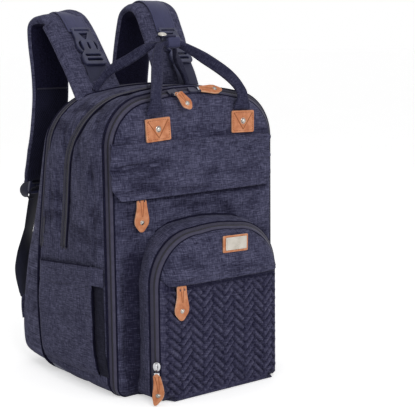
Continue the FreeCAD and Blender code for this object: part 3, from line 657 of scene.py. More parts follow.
def joined(name, pieces, body):
    """Several loose pieces as one, with their finishes."""
    bm = bmesh.new()
    bm.loops.layers.uv.new("UVMap")
    finishes = []
    for piece in pieces:
        start = len(bm.faces)
        slots = []
        for one in piece.data.materials:
            if one not in finishes:
                finishes.append(one)
            slots.append(finishes.index(one))
        bm.from_mesh(piece.data)
        bm.faces.ensure_lookup_table()
        for f in bm.faces[start:]:
            f.material_index = slots[f.material_index]
        bpy.data.objects.remove(piece)
    return settle(name, bm, finishes, body)


# ---- the shell of the bag -----------------------------------------------------------


def gusset():
    """Canvas round the bag between the front zip and the back, puffed between its seams."""
    before, after, half_strip = 0.45, 0.55, 8

    def place(u, v):
        p, out = on_arch(BODY, 0.0, u)
        x, z = p[:, 0], p[:, 1]
        front = np.full(len(u), SEAM_FRONT + 0.3)
        foot = MIDDLE_SEAM[-1][0]
        middle = np.where(z > MIDDLE_ZIP_FOOT, depth_at(MIDDLE_SEAM, z), foot + (MIDDLE_ZIP_FOOT - z) * 0.03)
        rear = depth_at(REAR_SEAM, z)
        # the strip under the middle zip takes the middle tenth of the rows
        y = np.where(v < before, front + (middle - half_strip - front) * v / before,
                     np.where(v < after, middle - half_strip + 2 * half_strip * (v - before) / 0.1,
                              middle + half_strip + (rear - middle - half_strip) * (v - after) / before))
        halves = np.where(v < before, np.sin(np.pi * np.clip(v / before, 0, 1)),
                          np.where(v < after, 0, np.sin(np.pi * np.clip((v - after) / before, 0, 1))))
        whole = np.sin(np.pi * np.clip((y - front) / (rear - front), 0, 1))
        split = step(z, 186, 206)
        side = 1 - step(z, 350, 425)
        # above the middle zip's foot the canvas puffs in two halves, below it as a whole
        puff = (split * np.clip(halves, 0, 1) ** 0.6 * (1.6 + 3.0 * side)
                + (1 - split) * np.clip(whole, 0, 1) ** 0.6 * 4.2)
        behind_pocket = step(y, -64, -48) * (1 - step(z, 160, 192)) * step(z, 10, 30)
        puff = puff * (1 - 0.85 * behind_pocket)
        crumple = folds(y, z, 26, 60, 3) * 0.9 + folds(y, z, 60, 22, 4) * 0.7 + folds(y, z, 14, 16, 5) * 0.35
        # the creases sink the canvas, and also darken it as painted shade
        crease_and_painted_shade = (creases(y, z, 70, 13, 6) * 0.8 + creases(y, z, 15, 60, 7) * 0.7) * (0.4 + 0.6 * split)
        crumple -= 1.6 * crease_and_painted_shade
        edge = np.clip((y - front) / 10, 0, 1) * np.clip((rear - y) / 10, 0, 1)
        puff = (puff + crumple * edge * (1 - 0.6 * behind_pocket)) * step(z, 1, 26)
        strip = split * step(v, 0.44, 0.46) * (1 - step(v, 0.54, 0.56))
        puff = puff * (1 - strip) - strip * 1.0
        # the rear half of the base tucks up, and its front half sags a little between the corners
        lift = BASE_TUCK * step(y, 20, 84) * (1 - step(z, 2, 30))
        sag = 2.0 * np.exp(-((y + 12) / 10) ** 2) * (1 - step(z, 1, 14))
        # the fourth value is painted shade in the creases
        return np.stack([x + out[:, 0] * puff, y, np.maximum(z + out[:, 1] * puff + lift + sag, 0.4),
                         0.8 * np.clip(crease_and_painted_shade, 0, 1) ** 1.5 * edge], 1)

    piece = cloth("gusset_canvas", ROUND, 60, place, CANVAS, "bag", (0, 10, 200), weld=True, cut="round")
    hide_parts("gusset_shell")


def edge_distance(shape, inset, x, z):
    """Distance of each point from an arched outline, without its base."""
    line = arch(shape, inset)
    line = line[14:-14]
    d = np.full(len(x), 1e9)
    for a, b in zip(line, line[1:]):
        e = b - a
        t = np.clip(((x - a[0]) * e[0] + (z - a[1]) * e[1]) / max(e @ e, 1e-9), 0, 1)
        d = np.minimum(d, np.hypot(x - a[0] - t * e[0], z - a[1] - t * e[1]))
    return d


def arch_columns(shape, inset, u, v, low=None, high=None):
    """x and z of a grid whose columns run from the base of an arched panel to its top."""
    line = arch(shape, inset)
    half = len(line) // 2
    left = line[:half + 1]
    w = -left[:, 0].min()
    x = w * np.sin((u - 0.5) * math.pi)
    split = np.argmin(np.abs(left[:, 1] - (shape["base"] + (shape["top"] - shape["base"]) * 0.4)))
    bottom = np.interp(-np.abs(x), left[:split, 0][::-1], left[:split, 1][::-1])
    top = np.interp(-np.abs(x), np.maximum.accumulate(left[split:, 0]), left[split:, 1])
    if low is not None:
        bottom = np.maximum(bottom, low)
    if high is not None:
        top = np.minimum(top, high)
    return x, bottom + (top - bottom) * v


def front_panel():
    """One canvas panel from the base to the crown, which bends where its top folds forward."""

    def place(u, v):
        x, z = arch_columns(BODY, EDGE_INSET, u, eased(v))
        d = edge_distance(BODY, EDGE_INSET, x, z)
        rise = 1 - np.exp(-d / 4.5)
        # it lies flat behind the patches, and bulges beside the pocket
        flat = step(z, 355, 363) * (1 - step(z, 396, 404)) * (1 - step(np.abs(np.abs(x) - 77), 22, 32))
        beside = (1 - step(np.abs(np.abs(x) - 130), 4, 22)) * (1 - step(z, 180, 240)) * step(z, 20, 60)
        crumple = (folds(x, z, 70, 13, 11) * 1.1 + folds(x, z, 30, 30, 12) * 0.8 + folds(x, z, 16, 16, 13) * 0.3
                   + folds(x + z * 0.5, z, 26, 12, 14) * 1.3 * beside)
        drag = creases(x + z * 0.8, z, 60, 15, 16) * step(z, 205, 232) * (1 - step(z, 272, 280))
        slack = creases(x, z, 80, 12, 17)
        # the panel sinks between the main zip and the pocket
        crumple -= 1.9 * drag + 1.1 * slack + 7.5 * beside
        # painted shade beside the pocket, in the creases and along the roll above the flap's seam
        pocket_edge = step(-np.abs(x), -143, -116) * (1 - step(z, 190, 232))
        crease_and_painted_shade = np.clip(0.7 * drag ** 1.5 + 0.4 * slack ** 1.5 + 1.1 * pocket_edge
                      + 0.45 * np.exp(-((z - 361) / 5) ** 2), 0, 1.2)
        # shade under the hem of the flap and in the opening at its left corner
        crease_and_painted_shade = np.maximum(crease_and_painted_shade, 1.1 * np.exp(-((z - 279) / 4.5) ** 2) * (1 - step(np.abs(x + 7), 132, 140)))
        crease_and_painted_shade = np.maximum(crease_and_painted_shade, 1.1 * (1 - step(x, -139, -120)) * np.exp(-((z - 279) / 12) ** 2))
        crown = 1.5 * step(d, 0, 70)
        # the canvas lies flat behind the upper zip
        bed = step(z, 275.5, 279.5) * (1 - step(z, 296, 302)) * (1 - step(np.abs(x), 118, 126))
        y = -88.4 - 9.4 * rise - (crown + crumple * np.clip(d / 12, 0, 1)) * (1 - flat) * (1 - bed)
        # a low roll stands above the seam of the flap
        y -= 0.8 * np.exp(-((z - 352) / 5) ** 2) * (1 - step(np.abs(x), 128, 134))
        return np.stack([x, y, z, crease_and_painted_shade * (1 - np.exp(-d / 4.5))], 1)

    piece = cloth("front_panel_canvas", 130, 190, place, CANVAS, "bag", rides=False, cut="panel")
    wall(piece, 1.6)
    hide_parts("front_panel", "front_panel_top")
    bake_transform(piece)


def band_place(shape, seam_y, t0, t1, profile):
    """Lays a strip round an outline, from share t0 to t1 of the sloping zip band, with a lift profile across."""
    slope = math.hypot(BAND_DEPTH, BAND_INSET)
    stations, lifts = zip(*profile)

    def place(u, v):
        t = t0 + (t1 - t0) * v
        p, out = on_arch(shape, 0.0, u)
        q, out2 = on_arch(shape, BAND_INSET, u)
        here = p * (1 - t[:, None]) + q * t[:, None]
        n = unit(out * (1 - t[:, None]) + out2 * t[:, None])
        lift = np.interp(t, stations, lifts)
        x = here[:, 0] + n[:, 0] * lift * BAND_DEPTH / slope
        z = here[:, 1] + n[:, 1] * lift * BAND_DEPTH / slope
        y = seam_y - BAND_DEPTH * t - lift * BAND_INSET / slope
        return np.stack([x, y, np.maximum(z, shape["base"] + 0.4)], 1)

    return place


def zip_tapes(name, shape, seam_y, rows, inner_body, inside, rides):
    """The two tapes of a zip that runs round an outline, the outer one on the bag."""
    outer = cloth(f"{name}_outer_tape", ROUND, rows, band_place(shape, seam_y, 0.02, ZIP_MIDDLE, BAND_PROFILE),
                  OUTER_TAPE, "bag", inside, weld=True)
    inner = cloth(f"{name}_inner_tape", ROUND, rows, band_place(shape, seam_y, ZIP_MIDDLE, 0.70, BAND_PROFILE),
                  ZIP_TAPE, inner_body, inside, weld=True, rides=rides)
    return outer, inner


def round_cord(name, shape, seam_y, t, lift, size, stuff, body, rides=True):
    """A coil or cord round an outline, at a share t of its zip band's width. size is width, height and corner."""
    line = band_place(shape, seam_y, t, t, [(0, lift), (1, lift)])(AROUND, np.zeros(ROUND))
    return swept(name, line, (0, 1, 0), section(*size, 2), stuff, body, rides=rides, closed=True)


def front_zip():
    """The main zip round the front: two tapes with raised lips, and the coil between them."""
    outer, inner = zip_tapes("front_zip", BODY, SEAM_FRONT, 22, "bag", (0, 0, 200), False)
    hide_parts("front_zip_tape")
    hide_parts("front_zip_top_tape")
    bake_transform(inner)
    round_cord("front_zip_coil", BODY, SEAM_FRONT, ZIP_MIDDLE, -0.6, (3.6, 1.8, 0.8), COIL, "bag")
    # the dark cords along both edges of the band are painted shade in its seams
    round_cord("front_zip_seam", BODY, SEAM_FRONT, 0.055, 0.2, (4.6, 3.0, 1.3), DARK_CLOTH, "bag")
    inner_seam = round_cord("front_zip_inner_seam", BODY, SEAM_FRONT, 0.68, -0.2, (2.8, 2.4, 1.1), DARK_CLOTH, "bag",
                            False)
    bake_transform(inner_seam)


def seam_band(name, seam, foot, width, shift, lift, node):
    """A zip sewn on the gusset along a side seam, up the left side, over the crown and down the right."""
    first = share_at(BODY, 0.0, foot)

    def place(u, v):
        share = first + (1 - 2 * first) * u
        p, out = on_arch(BODY, 0.0, share)
        z = p[:, 1]
        t = (v - 0.5) * 2
        profile = np.interp(np.abs(t), [0, 0.14, 0.24, 0.5, 0.78, 0.9, 1.0], [-1.6, -1.4, 0.7, 0.9, 1.3, 1.0, -0.9])
        ends = step(u, 0, 0.012) * (1 - step(u, 0.988, 1))
        y = depth_at(seam, z) + shift + t * width / 2
        up = lift + profile * (0.3 + 0.7 * ends) - 0.8 * (1 - ends)
        return np.stack([p[:, 0] + out[:, 0] * up, y, z + out[:, 1] * up], 1)

    piece = cloth(name, 300, 14, place, BINDING, "bag", (0, 10, 150))
    if node:
        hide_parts(node)
    u = np.linspace(0.004, 0.996, 260)
    share = first + (1 - 2 * first) * u
    p, out = on_arch(BODY, 0.0, share)
    # the front seam is dark cloth, painted shade in the seam
    for word, offset, size, above, stuff in (("coil", 0, 2.4, -0.4, COIL),
                                             ("front_seam", -width / 2, 2.4, 0.3, DARK_CLOTH),
                                             ("rear_seam", width / 2, 2.0, 0.2, BINDING)):
        line = np.stack([p[:, 0] + out[:, 0] * (lift + above), depth_at(seam, p[:, 1]) + shift + offset,
                         p[:, 1] + out[:, 1] * (lift + above)], 1)
        swept(f"{name}_{word}", line, (0, 1, 0), section(size, size, size * 0.45, 2), stuff, "bag")


def back():
    """Padded back, dished to follow the wearer, with two mesh cushions and an air channel."""

    def place(u, v):
        x, z = arch_columns(BODY, 0.0, u, eased(v))
        z = np.maximum(z, 2.4)
        d = edge_distance(BODY, 0.0, x, z)
        seam = depth_at(REAR_SEAM, z)
        face = depth_at(REAR_FACE, z)
        near = np.minimum(d, np.maximum(z - 1, 0) * 1.2)
        share = np.clip(1 - (1 - np.clip(near / 13, 0, 1)) ** 3.4, 0, 1)
        y = seam + (face - seam) * share
        y += folds(x, z, 40, 30, 21) * 0.8 * np.clip(d / 15, 0, 1)
        # the rear edge of the base tucks up
        return np.stack([x, y, z + BASE_TUCK * (1 - step(z, 2, 30))], 1)

    piece = cloth("back_padding", 130, 150, place, CANVAS, "bag", (0, -40, 200), cut="panel")
    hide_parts("back_panel")

    def pad(side):
        def place(u, v):
            x = side * (13 + 108 * u)
            z = 40 + 340 * v
            d = np.minimum(np.minimum(u, 1 - u) * 108, np.minimum(v, 1 - v) * 340)
            puff = 6.5 * (1 - (1 - np.clip(d / 16, 0, 1)) ** 2.2)
            channel = sum(np.exp(-((z - c) / 4) ** 2) for c in (108, 176, 244, 312))
            y = depth_at(REAR_FACE, z) + 0.5 + puff * (1 - 0.55 * channel) + folds(x, z, 30, 30, 22) * 0.5
            return np.stack([x, y, z], 1)

        return cloth(f"back_mesh_pad_{hand(side)}", 40, 130, place, MESH, "bag", (0, -40, 200))

    both = joined("back_mesh_pads_soft", [pad(-1), pad(1)], "bag")
    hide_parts("back_mesh_pads")
    p, out = on_arch(BODY, 0.0, AROUND)
    line = np.stack([p[:, 0] + out[:, 0] * 1.4, depth_at(REAR_SEAM, p[:, 1]),
                     p[:, 1] + out[:, 1] * 1.4 + BASE_TUCK * (1 - step(p[:, 1], 2, 30))], 1)
    cord = swept("rear_seam_cord", line, (0, 1, 0), section(4.0, 4.0, 1.9, 3), DARK_CLOTH, "bag", closed=True)
    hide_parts("rear_piping")


def side_pocket(side):
    """Open pocket on the side: hemmed top, pleat at the front and a tab across to the main zip."""
    word = hand(side)
    low, front_top, rear_top, hem_depth = 26.0, 185.0, 174.0, 31

    def front_edge(z):
        """y of the pocket's front edge, which runs forward near the base."""
        return -53 - 13 * step(-z, -70, -30) * 0.7

    def place(u, v):
        top = front_top + (rear_top - front_top) * np.clip(u, 0, 1)
        z = low + (top - low) * v
        front = front_edge(z)
        y = front + (depth_at(REAR_SEAM, z) - 5.0 - front) * u
        rise = 1 - (1 - np.clip(v * 159 / 16, 0, 1)) ** 2
        edge = 1 - (1 - np.clip((1 - u) * 145 / 14, 0, 1)) ** 2
        puff = 2.2 + 6.2 * rise * edge
        hem = 0.9 * np.exp(-((z - top + hem_depth) / 2.2) ** 2)
        crumple = folds(y, z, 24, 50, 31) * 0.8 + folds(y, z, 50, 18, 32) * 0.7
        out = SIDE_X + puff - hem + crumple * np.clip(v * 4, 0, 1) * (1 - step(v, 0.9, 1.0) * 0.5)
        return np.stack([side * out, y, z], 1)

    piece = cloth(f"{word}_side_pocket_canvas", 60, 70, place, CANVAS, "bag", (0, 20, 100))
    wall(piece, 1.4)
    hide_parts(f"{word}_side_pocket")

    def pleat(u, v):
        """Fold down the pocket's front edge, drawn in dark cloth as painted shade."""
        z = 28 + 156 * v
        out = SIDE_X + 8.0 * (1 - u) ** 1.5 * step(z, 22, 46)
        return np.stack([side * out, front_edge(z) + 6 * u + 0.2, z], 1)

    cloth(f"{word}_side_pocket_pleat", 6, 40, pleat, DARK_CLOTH, "bag", (0, 20, 100))

    def gap(u, v):
        """Dark canvas in the gap between the pocket and the front zip, as painted shade."""
        z = 30 + 126 * v
        y = front_edge(z) - 21 + 22 * u
        return np.stack([side * (151.6 + 0.6 * u + folds(y, z, 20, 24, 34) * 0.4 * np.sin(np.pi * u)), y, z], 1)

    cloth(f"{word}_side_pocket_gap", 12, 40, gap, SHADED_CANVAS, "bag", (0, 20, 100))

    def tab(u, v):
        """Tab from the pocket's top corner toward the front zip."""
        y = -76 + 24 * u
        z = 158 + 26.5 * v
        out = 153.5 + 5.0 * u + folds(y, z, 20, 9, 33) * 0.6
        return np.stack([side * out, y, z], 1)

    piece = cloth(f"{word}_side_pocket_tab", 16, 14, tab, CANVAS, "bag", (0, 20, 100))
    wall(piece, 1.8)
    # the rim is dark cloth: a painted shadow line along the pocket's top
    rim = np.array([(side * (SIDE_X + 8.6), y, front_top - (front_top - rear_top) * (y + 46) / 142)
                    for y in np.linspace(-51, 84, 40)])
    swept(f"{word}_side_pocket_rim", rim, (side, 0, 0), section(2.0, 1.6, 0.7, 2), DARK_CLOTH, "bag")
    sewn(f"{word}_side_pocket_hem_stitches", rim - [side * 0.6, 0, hem_depth], (side, 0, 0), "bag")


gusset()
front_panel()
front_zip()
seam_band("middle_zip", MIDDLE_SEAM, MIDDLE_ZIP_FOOT, 15.0, 0.0, 0.6, "middle_zip_tape")
seam_band("rear_zip", REAR_SEAM, REAR_ZIP_FOOT, 12.0, -8.0, 1.4, None)
back()
side_pocket(-1)
side_pocket(1)

# ---- flaps and front pocket --------------------------------------------------------------


def upper_flap():
    """Storm flap over the upper zip, cut at its lower corners and pulled into low folds."""
    left, right, top = -147.0, 133.0, 357.4
    width = right - left

    def hem(x):
        """Height of the hem, which rises a little to the right and is cut away at both corners."""
        left_cut = 15 * np.clip((left + 10 - x) / 10, 0, 1)
        right_cut = 13 * np.clip((x - right + 13) / 13, 0, 1)
        return 279.2 + 3.2 * np.clip((x + 140) / 240, 0, 1) + left_cut + right_cut

    def place(u, v):
        x = left + width * eased(u) * 0.5 + width * u * 0.5
        low = hem(x)
        z = low + (top - low) * v
        drop = (top - z) / 78
        # near the zip at each end the flap lies down on the edge of the panel
        ends = 1 - np.exp(-np.minimum(x - left, right - x) / 9)
        y = -98.4 - 1.6 * step(drop, 0, 0.06) - 7.0 * step(drop, 0.0, 0.95) * ends
        y -= 2.2 * np.exp(-((z - top + 5) / 4) ** 2)
        y += 6.3 * (1 - ends) * step(x, -120, -140)
        crease = (folds(x, z, 66, 6.5, 41) * 1.15 + folds(x + z * 1.5, z, 40, 9, 42) * 0.9
                  + folds(x, z, 18, 12, 43) * 0.3)
        fan = np.clip(1 - np.abs(x + 125) / 40, 0, 1) * folds(x, z - x * 0.12, 90, 5, 44) * 1.5
        deep = creases(x, z - x * 0.05, 95, 10, 45, 0.36) * (0.35 + 0.75 * (1 - step(x, -100, -20)))
        slack = creases(x, z + x * 0.04, 70, 13, 46, 0.3) * 0.5
        crease -= 2.8 * deep + 2.4 * slack
        y -= (crease + fan) * step(drop, 0.05, 0.2) * (1 - step(drop, 0.86, 0.97) * 0.6)
        # the fourth value is painted shade in the deep creases and the slack
        return np.stack([x, y, z, 0.8 * np.clip(deep + slack, 0, 1) ** 1.5 * (1 - step(drop, 0.9, 1.0))], 1)

    piece = cloth("upper_flap_canvas", 130, 64, place, CANVAS, "upper_flap", cut="panel")
    wall(piece, 2.0)
    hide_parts("upper_flap")
    share = (np.linspace(left + 12, right - 14, 120) - left) / width
    columns = (np.arccos(1 - 2 * np.clip(share, 0, 1)) / math.pi + share) / 2
    row = place(columns, np.full(120, 0.1))[:, :3]
    sewn("upper_flap_hem_stitches", row + [0, -0.1, 0], (0, -1, 0), "upper_flap")


def flat_tapes():
    """Straight zips under the two flaps, each two tapes and a coil."""
    for name, face_y, middle, half, body in (("upper_zip", PANEL_Y, 284.0, 117.0, "bag"),
                                             ("quilt_zip", POCKET_Y, 165.5, 92.0, "pocket_front")):
        def place(u, v):
            x = -half + 2 * half * u
            t = (v - 0.5) * 2
            lift = np.interp(np.abs(t), [0, 0.1, 0.2, 0.9, 1], [-0.2, -0.2, 0.5, 0.4, -0.1])
            return np.stack([x, face_y - 0.6 - lift, middle + np.where(t < 0, t * 3.6, t * 11)], 1)

        # the tapes are drawn in dark binding as painted shadow of the flaps over them
        tape = cloth(f"{name}_flat_tape", 60, 14, place, BINDING, body)
        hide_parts(f"{name}_tape")
        line = np.stack([np.linspace(-half + 1, half - 1, 120), np.full(120, face_y - 1.0), np.full(120, middle)], 1)
        swept(f"{name}_flat_coil", line, (0, 0, 1), section(2.6, 1.2, 0.5, 2), COIL, body)


def pocket_side():
    """Canvas wall of the front pocket, whose roof rises a little to the panel, with a puffed side."""

    def upright(z):
        """1 along the sides, 0 at the base and the roof."""
        return step(z, 3, 40) * (1 - step(z, 190, 236))

    def roof(z):
        """How far the wall rises to its root, all along the roof and nothing at the sides."""
        return ROOF_RISE * step(z, 150, 236)

    def place(u, v):
        y = POCKET_SEAM_Y + 0.4 + (PANEL_Y + 9 - POCKET_SEAM_Y) * v
        p, out = on_arch(POCKET, 0.0, u)
        p = p - out * (WALL_LEAN * step(v, 0.0, 0.8) * upright(p[:, 1]))[:, None]
        rise = v * roof(p[:, 1])
        puff = np.sin(np.pi * np.clip(v, 0, 1)) ** 0.7 * 2.6 * step(p[:, 1], 3, 30)
        puff += (folds(y, p[:, 1], 14, 34, 51) * 0.8 + folds(y, p[:, 1], 24, 12, 52) * 0.5) * np.sin(np.pi * v)
        # the fourth value is painted shade near the root of the wall
        return np.stack([p[:, 0] + out[:, 0] * puff, y, np.maximum(p[:, 1] + rise + out[:, 1] * puff, 1.5),
                         step(v, 0.8, 1.0) * 0.5], 1)

    piece = cloth("pocket_side_canvas", ROUND, 20, place, CANVAS, "bag", (0, -110, 100), weld=True, cut="round")
    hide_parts("pocket_gusset")

    def floor(u, v):
        """Canvas under the pocket's base, which its face folds away from."""
        return np.stack([(2 * u - 1) * (101 - 12 * v), POCKET_SEAM_Y - 0.2 - 22.8 * v,
                         0.9 + 0.3 * np.sin(np.pi * v)], 1)

    under = cloth("pocket_floor_canvas", 60, 10, floor, CANVAS, "bag", (0, -140, 100))
    wall(under, 1.0)
    # the root cord is dark cloth, painted shade in the crease where the wall meets the panel
    first = share_at(POCKET, 0.0, 6)
    p, out = on_arch(POCKET, 0.0, np.linspace(first, 1 - first, 300))
    reach = 1.6 - WALL_LEAN * upright(p[:, 1])
    line = np.stack([p[:, 0] + out[:, 0] * reach, PANEL_Y - 0.6 + 5.0 * upright(p[:, 1]),
                     p[:, 1] + roof(p[:, 1]) + out[:, 1] * reach], 1)
    swept("pocket_root_cord", line, (0, 1, 0), section(3.2, 3.2, 1.5, 3), DARK_CLOTH, "bag")


def pocket_zip():
    """Arched zip of the front pocket, its outer tape on the bag and its inner one on the face."""
    outer, inner = zip_tapes("arch_zip", POCKET, POCKET_SEAM_Y, 20, "pocket_front", (0, -110, 100), True)
    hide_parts("arch_zip_tape")
    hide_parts("arch_zip_face_tape")
    # the two seams are dark cloth, painted shade beside the band
    for name, t, lift, size, stuff, body in (("arch_zip_coil", ZIP_MIDDLE, -0.6, 3.4, COIL, "bag"),
                                             ("arch_zip_seam", 0.03, 0.0, 3.0, DARK_CLOTH, "bag"),
                                             ("arch_zip_inner_seam", 0.68, -0.1, 2.4, DARK_CLOTH, "pocket_front")):
        round_cord(name, POCKET, POCKET_SEAM_Y, t, lift, (size, size * 0.8, size * 0.36), stuff, body)


def face_depth(x, z):
    """y of the plain face of the front pocket."""
    d = edge_distance(POCKET, EDGE_INSET, x, z)
    return -140.2 - 13.4 * (1 - np.exp(-d / 6.5)) - 1.2 * step(d, 0, 60)


def pocket_face():
    """Face of the front pocket: plain canvas above, which falls as a flap over the quilted part."""
    puff_width, slant, quilt_top = 8.8, 0.7071, 190.0

    def braid(x, z):
        """Height from 0 to 1 of short puffs laid herringbone fashion, each three times as long as it is wide."""
        p = (x + z) * slant / puff_width
        q = (z - x) * slant / puff_width
        i, j = np.floor(p), np.floor(q)
        turn = np.mod(i - j, 6)
        lies = turn < 3
        along = np.where(lies, turn + p - i, 5 - turn + q - j)
        across = np.where(lies, q - j, p - i)
        return np.sin(np.pi * across) ** 0.9 * np.clip(np.minimum(along, 3 - along) * 2.6, 0, 1) ** 0.7

    def quilt(u, v):
        """The lower canvas, quilted in puffs."""
        x, z = arch_columns(POCKET, EDGE_INSET, u, v, None, quilt_top)
        y = face_depth(x, z)
        puff = braid(x, z) * (1 - 0.8 * step(z, 155, 159))
        puff = 0.52 + (puff - 0.52) * step(z, 2, 12)
        d = edge_distance(POCKET, EDGE_INSET, x, z)
        fade = step(d, 1, 8)
        y -= (4.8 * puff - 2.8) * fade + (folds(x, z, 24, 20, 61) * 0.7) * fade
        # the canvas lies flat behind the quilt zip
        bed = step(z, 157.5, 161) * (1 - step(np.abs(x), 93, 99))
        y = y * (1 - bed) + (face_depth(x, z) + 0.7) * bed
        # painted shade between the puffs and under the hem of the plain canvas above
        crease_and_painted_shade = np.clip((1 - puff) * 0.8 * fade + 0.8 * np.exp(-((z - 162) / 3.5) ** 2), 0, 1)
        return np.stack([x, y, np.maximum(z, 2.2), crease_and_painted_shade], 1)

    low = cloth("pocket_quilted_canvas", 300, 300, quilt, QUILTED, "pocket_front", (0, -110, 100), cut="panel")
    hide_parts("pocket_face")

    left, right, hem_z = -105.6, 102.0, 165.0

    def plain(u, v):
        """The upper canvas, whose lower edge hangs over the quilt zip."""
        x, z = arch_columns(POCKET, EDGE_INSET, u, eased(v), hem_z)
        x = np.clip(x, left, right)
        corner = 13 * np.clip((left + 9 - x) / 9, 0, 1) + 13 * np.clip((x - right + 9) / 9, 0, 1)
        z = np.maximum(z, hem_z + corner)
        y = face_depth(x, z) - 0.9
        drop = 1 - step(z, 166, 196)
        ends = 1 - np.exp(-np.minimum(x - left, right - x) / 10)
        slack = creases(x, z, 70, 10, 64)
        y -= 8.2 * drop ** 0.8 * ends
        behind_label = step(z, 192, 197) * (1 - step(z, 224, 229)) * (1 - step(np.abs(x - 17), 25, 33))
        crumple = folds(x, z, 46, 9, 62) * 0.55 + folds(x, z, 22, 18, 63) * 0.35 - slack * 1.1
        y -= crumple * step(z, 164, 172) * ends * (1 - behind_label)
        # the fourth value is painted shade in the slack creases
        return np.stack([x, y, z, slack ** 1.5 * 0.4 * ends], 1)

    top = cloth("pocket_plain_canvas", 120, 70, plain, CANVAS, "pocket_front", (0, -110, 150), rides=False,
                cut="panel")
    wall(top, 1.8)
    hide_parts("pocket_flap")
    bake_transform(top)
    xs = np.linspace(left + 10, right - 10, 110)
    level = np.full(110, hem_z + 7.0)
    sewn("pocket_flap_hem_stitches", np.stack([xs, face_depth(xs, level) - 9.0, level], 1), (0, -1, 0), "pocket_flap")


upper_flap()
flat_tapes()
pocket_side()
pocket_zip()
pocket_face()

# ---- straps ---------------------------------------------------------------------------


# (y, z) from the root over the crown to the free end: the left strap has slumped, the right one stands
STRAP_PATHS = {-1: [(-4, 366), (42, 428), (62, 454), (106, 506), (134, 532), (160, 527), (160, 500), (152, 455),
                    (152, 405), (165, 350), (190, 302), (204, 281)],
               1: [(52, 380), (66, 440), (102, 502), (122, 540), (144, 552), (170, 543), (184, 498), (196, 440),
                   (203, 360), (207, 284)]}
STRAP_X = 88.0
# the buckles lie on the slope in front of the crown: their (y, z), the way down it and the way out of it
STRAP_TOP = (102.99, 511.14)
DOWN = np.array([0.0, -0.637568, -0.770394])
OUT = np.array([0.0, -0.770394, 0.637568])


def strap(side):
    """Padded strap: canvas outside, mesh inside, sewn flat along both edges."""
    word = hand(side)
    path = bent(STRAP_PATHS[side], 34.0, 170)
    ahead = step(-path[:, 0], -158, -120) * (path[:, 1] > 360)
    behind = step(path[:, 0], 125, 150) * (1 - step(-path[:, 1], -300, -284))
    front = step(-path[:, 0], -104, -62)
    if side < 0:
        aside = 7.0 * ahead - 7.0 * behind
        narrowed = 0.20 * behind
    else:
        aside = -2.0 - 12.0 * front - 3.5 * behind
        narrowed = 0.07 * behind + 0.19 * front
    line = np.stack([side * STRAP_X + aside, path[:, 0], path[:, 1]], 1)
    run = lengths(line)
    end = run[-1] - run
    uneven = 1 + 0.012 * folds(run, run * 0, 40, 10, 71)
    wide = np.interp(end, [0, 8, 60], [0.62, 0.82, 1.0]) * (1.03 - narrowed) * uneven
    plump = 1.0 + 0.3 * step(line[:, 2], 440, 520)
    thick = plump * np.interp(end, [0, 14], [0.55, 1.0]) * np.interp(run, [0, 30], [0.75, 1.0])
    profile = np.array([(0, 6.6), (18, 6.4), (30, 5.4), (34, 3.8), (37, 2.2), (38, 0.6), (38, -1.2), (36.5, -2.6),
                        (33, -3.6), (28, -5.2), (16, -6.3), (0, -6.5), (-16, -6.3), (-28, -5.2), (-33, -3.6),
                        (-36.5, -2.6), (-38, -1.2), (-38, 0.6), (-37, 2.2), (-34, 3.8), (-30, 5.4), (-18, 6.4)])
    profile = even(np.vstack([profile, profile[:1]]), 67)[:-1]
    mesh_top = 424

    def inner(u, v):
        """0 for canvas, 1 for mesh on the inner side, 2 for dark cloth above the mesh."""
        k = np.rint(u * len(profile)).astype(int) % len(profile)
        height = np.interp(v, np.linspace(0, 1, len(line)), line[:, 2])
        return np.where(profile[k, 1] < -2.9, np.where(height > mesh_top, 2, 1), 0)

    piece = swept(f"{word}_strap_padding", line, (1, 0, 0.16 if side < 0 else 0.08), profile,
                  [CANVAS, MESH, DARK_CLOTH], "bag", scale=np.stack([wide, thick], 1), choose=inner)
    rear = np.argmin(np.abs(line[:, 2] - mesh_top) + (line[:, 1] < 110) * 999)
    seam = line[rear] - [0, 6.4 * thick[rear], 0]
    swept(f"{word}_strap_cross_seam", np.array([seam + [k, 0, 0] for k in np.linspace(-26, 26, 13)]), (0, 0, 1),
          section(2.2, 1.6, 0.7, 2), BINDING, "bag")
    crown, _ = on_arch(BODY, 0.0, np.linspace(0, 1, 400))
    for vertex in piece.data.vertices:
        # the foot ends on the roof of the bag
        if vertex.co.y < 0.1:
            vertex.co.z = max(vertex.co.z, np.interp(vertex.co.x / MM, crown[:, 0], crown[:, 1]) * MM - 0.003)
    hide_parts(f"{word}_shoulder_strap")


def shown(x, pairs):
    """Points with a constant x from (y, z) pairs."""
    pairs = np.asarray(pairs, float)
    return np.stack([np.full(len(pairs), float(x)), pairs[:, 0], pairs[:, 1]], 1)


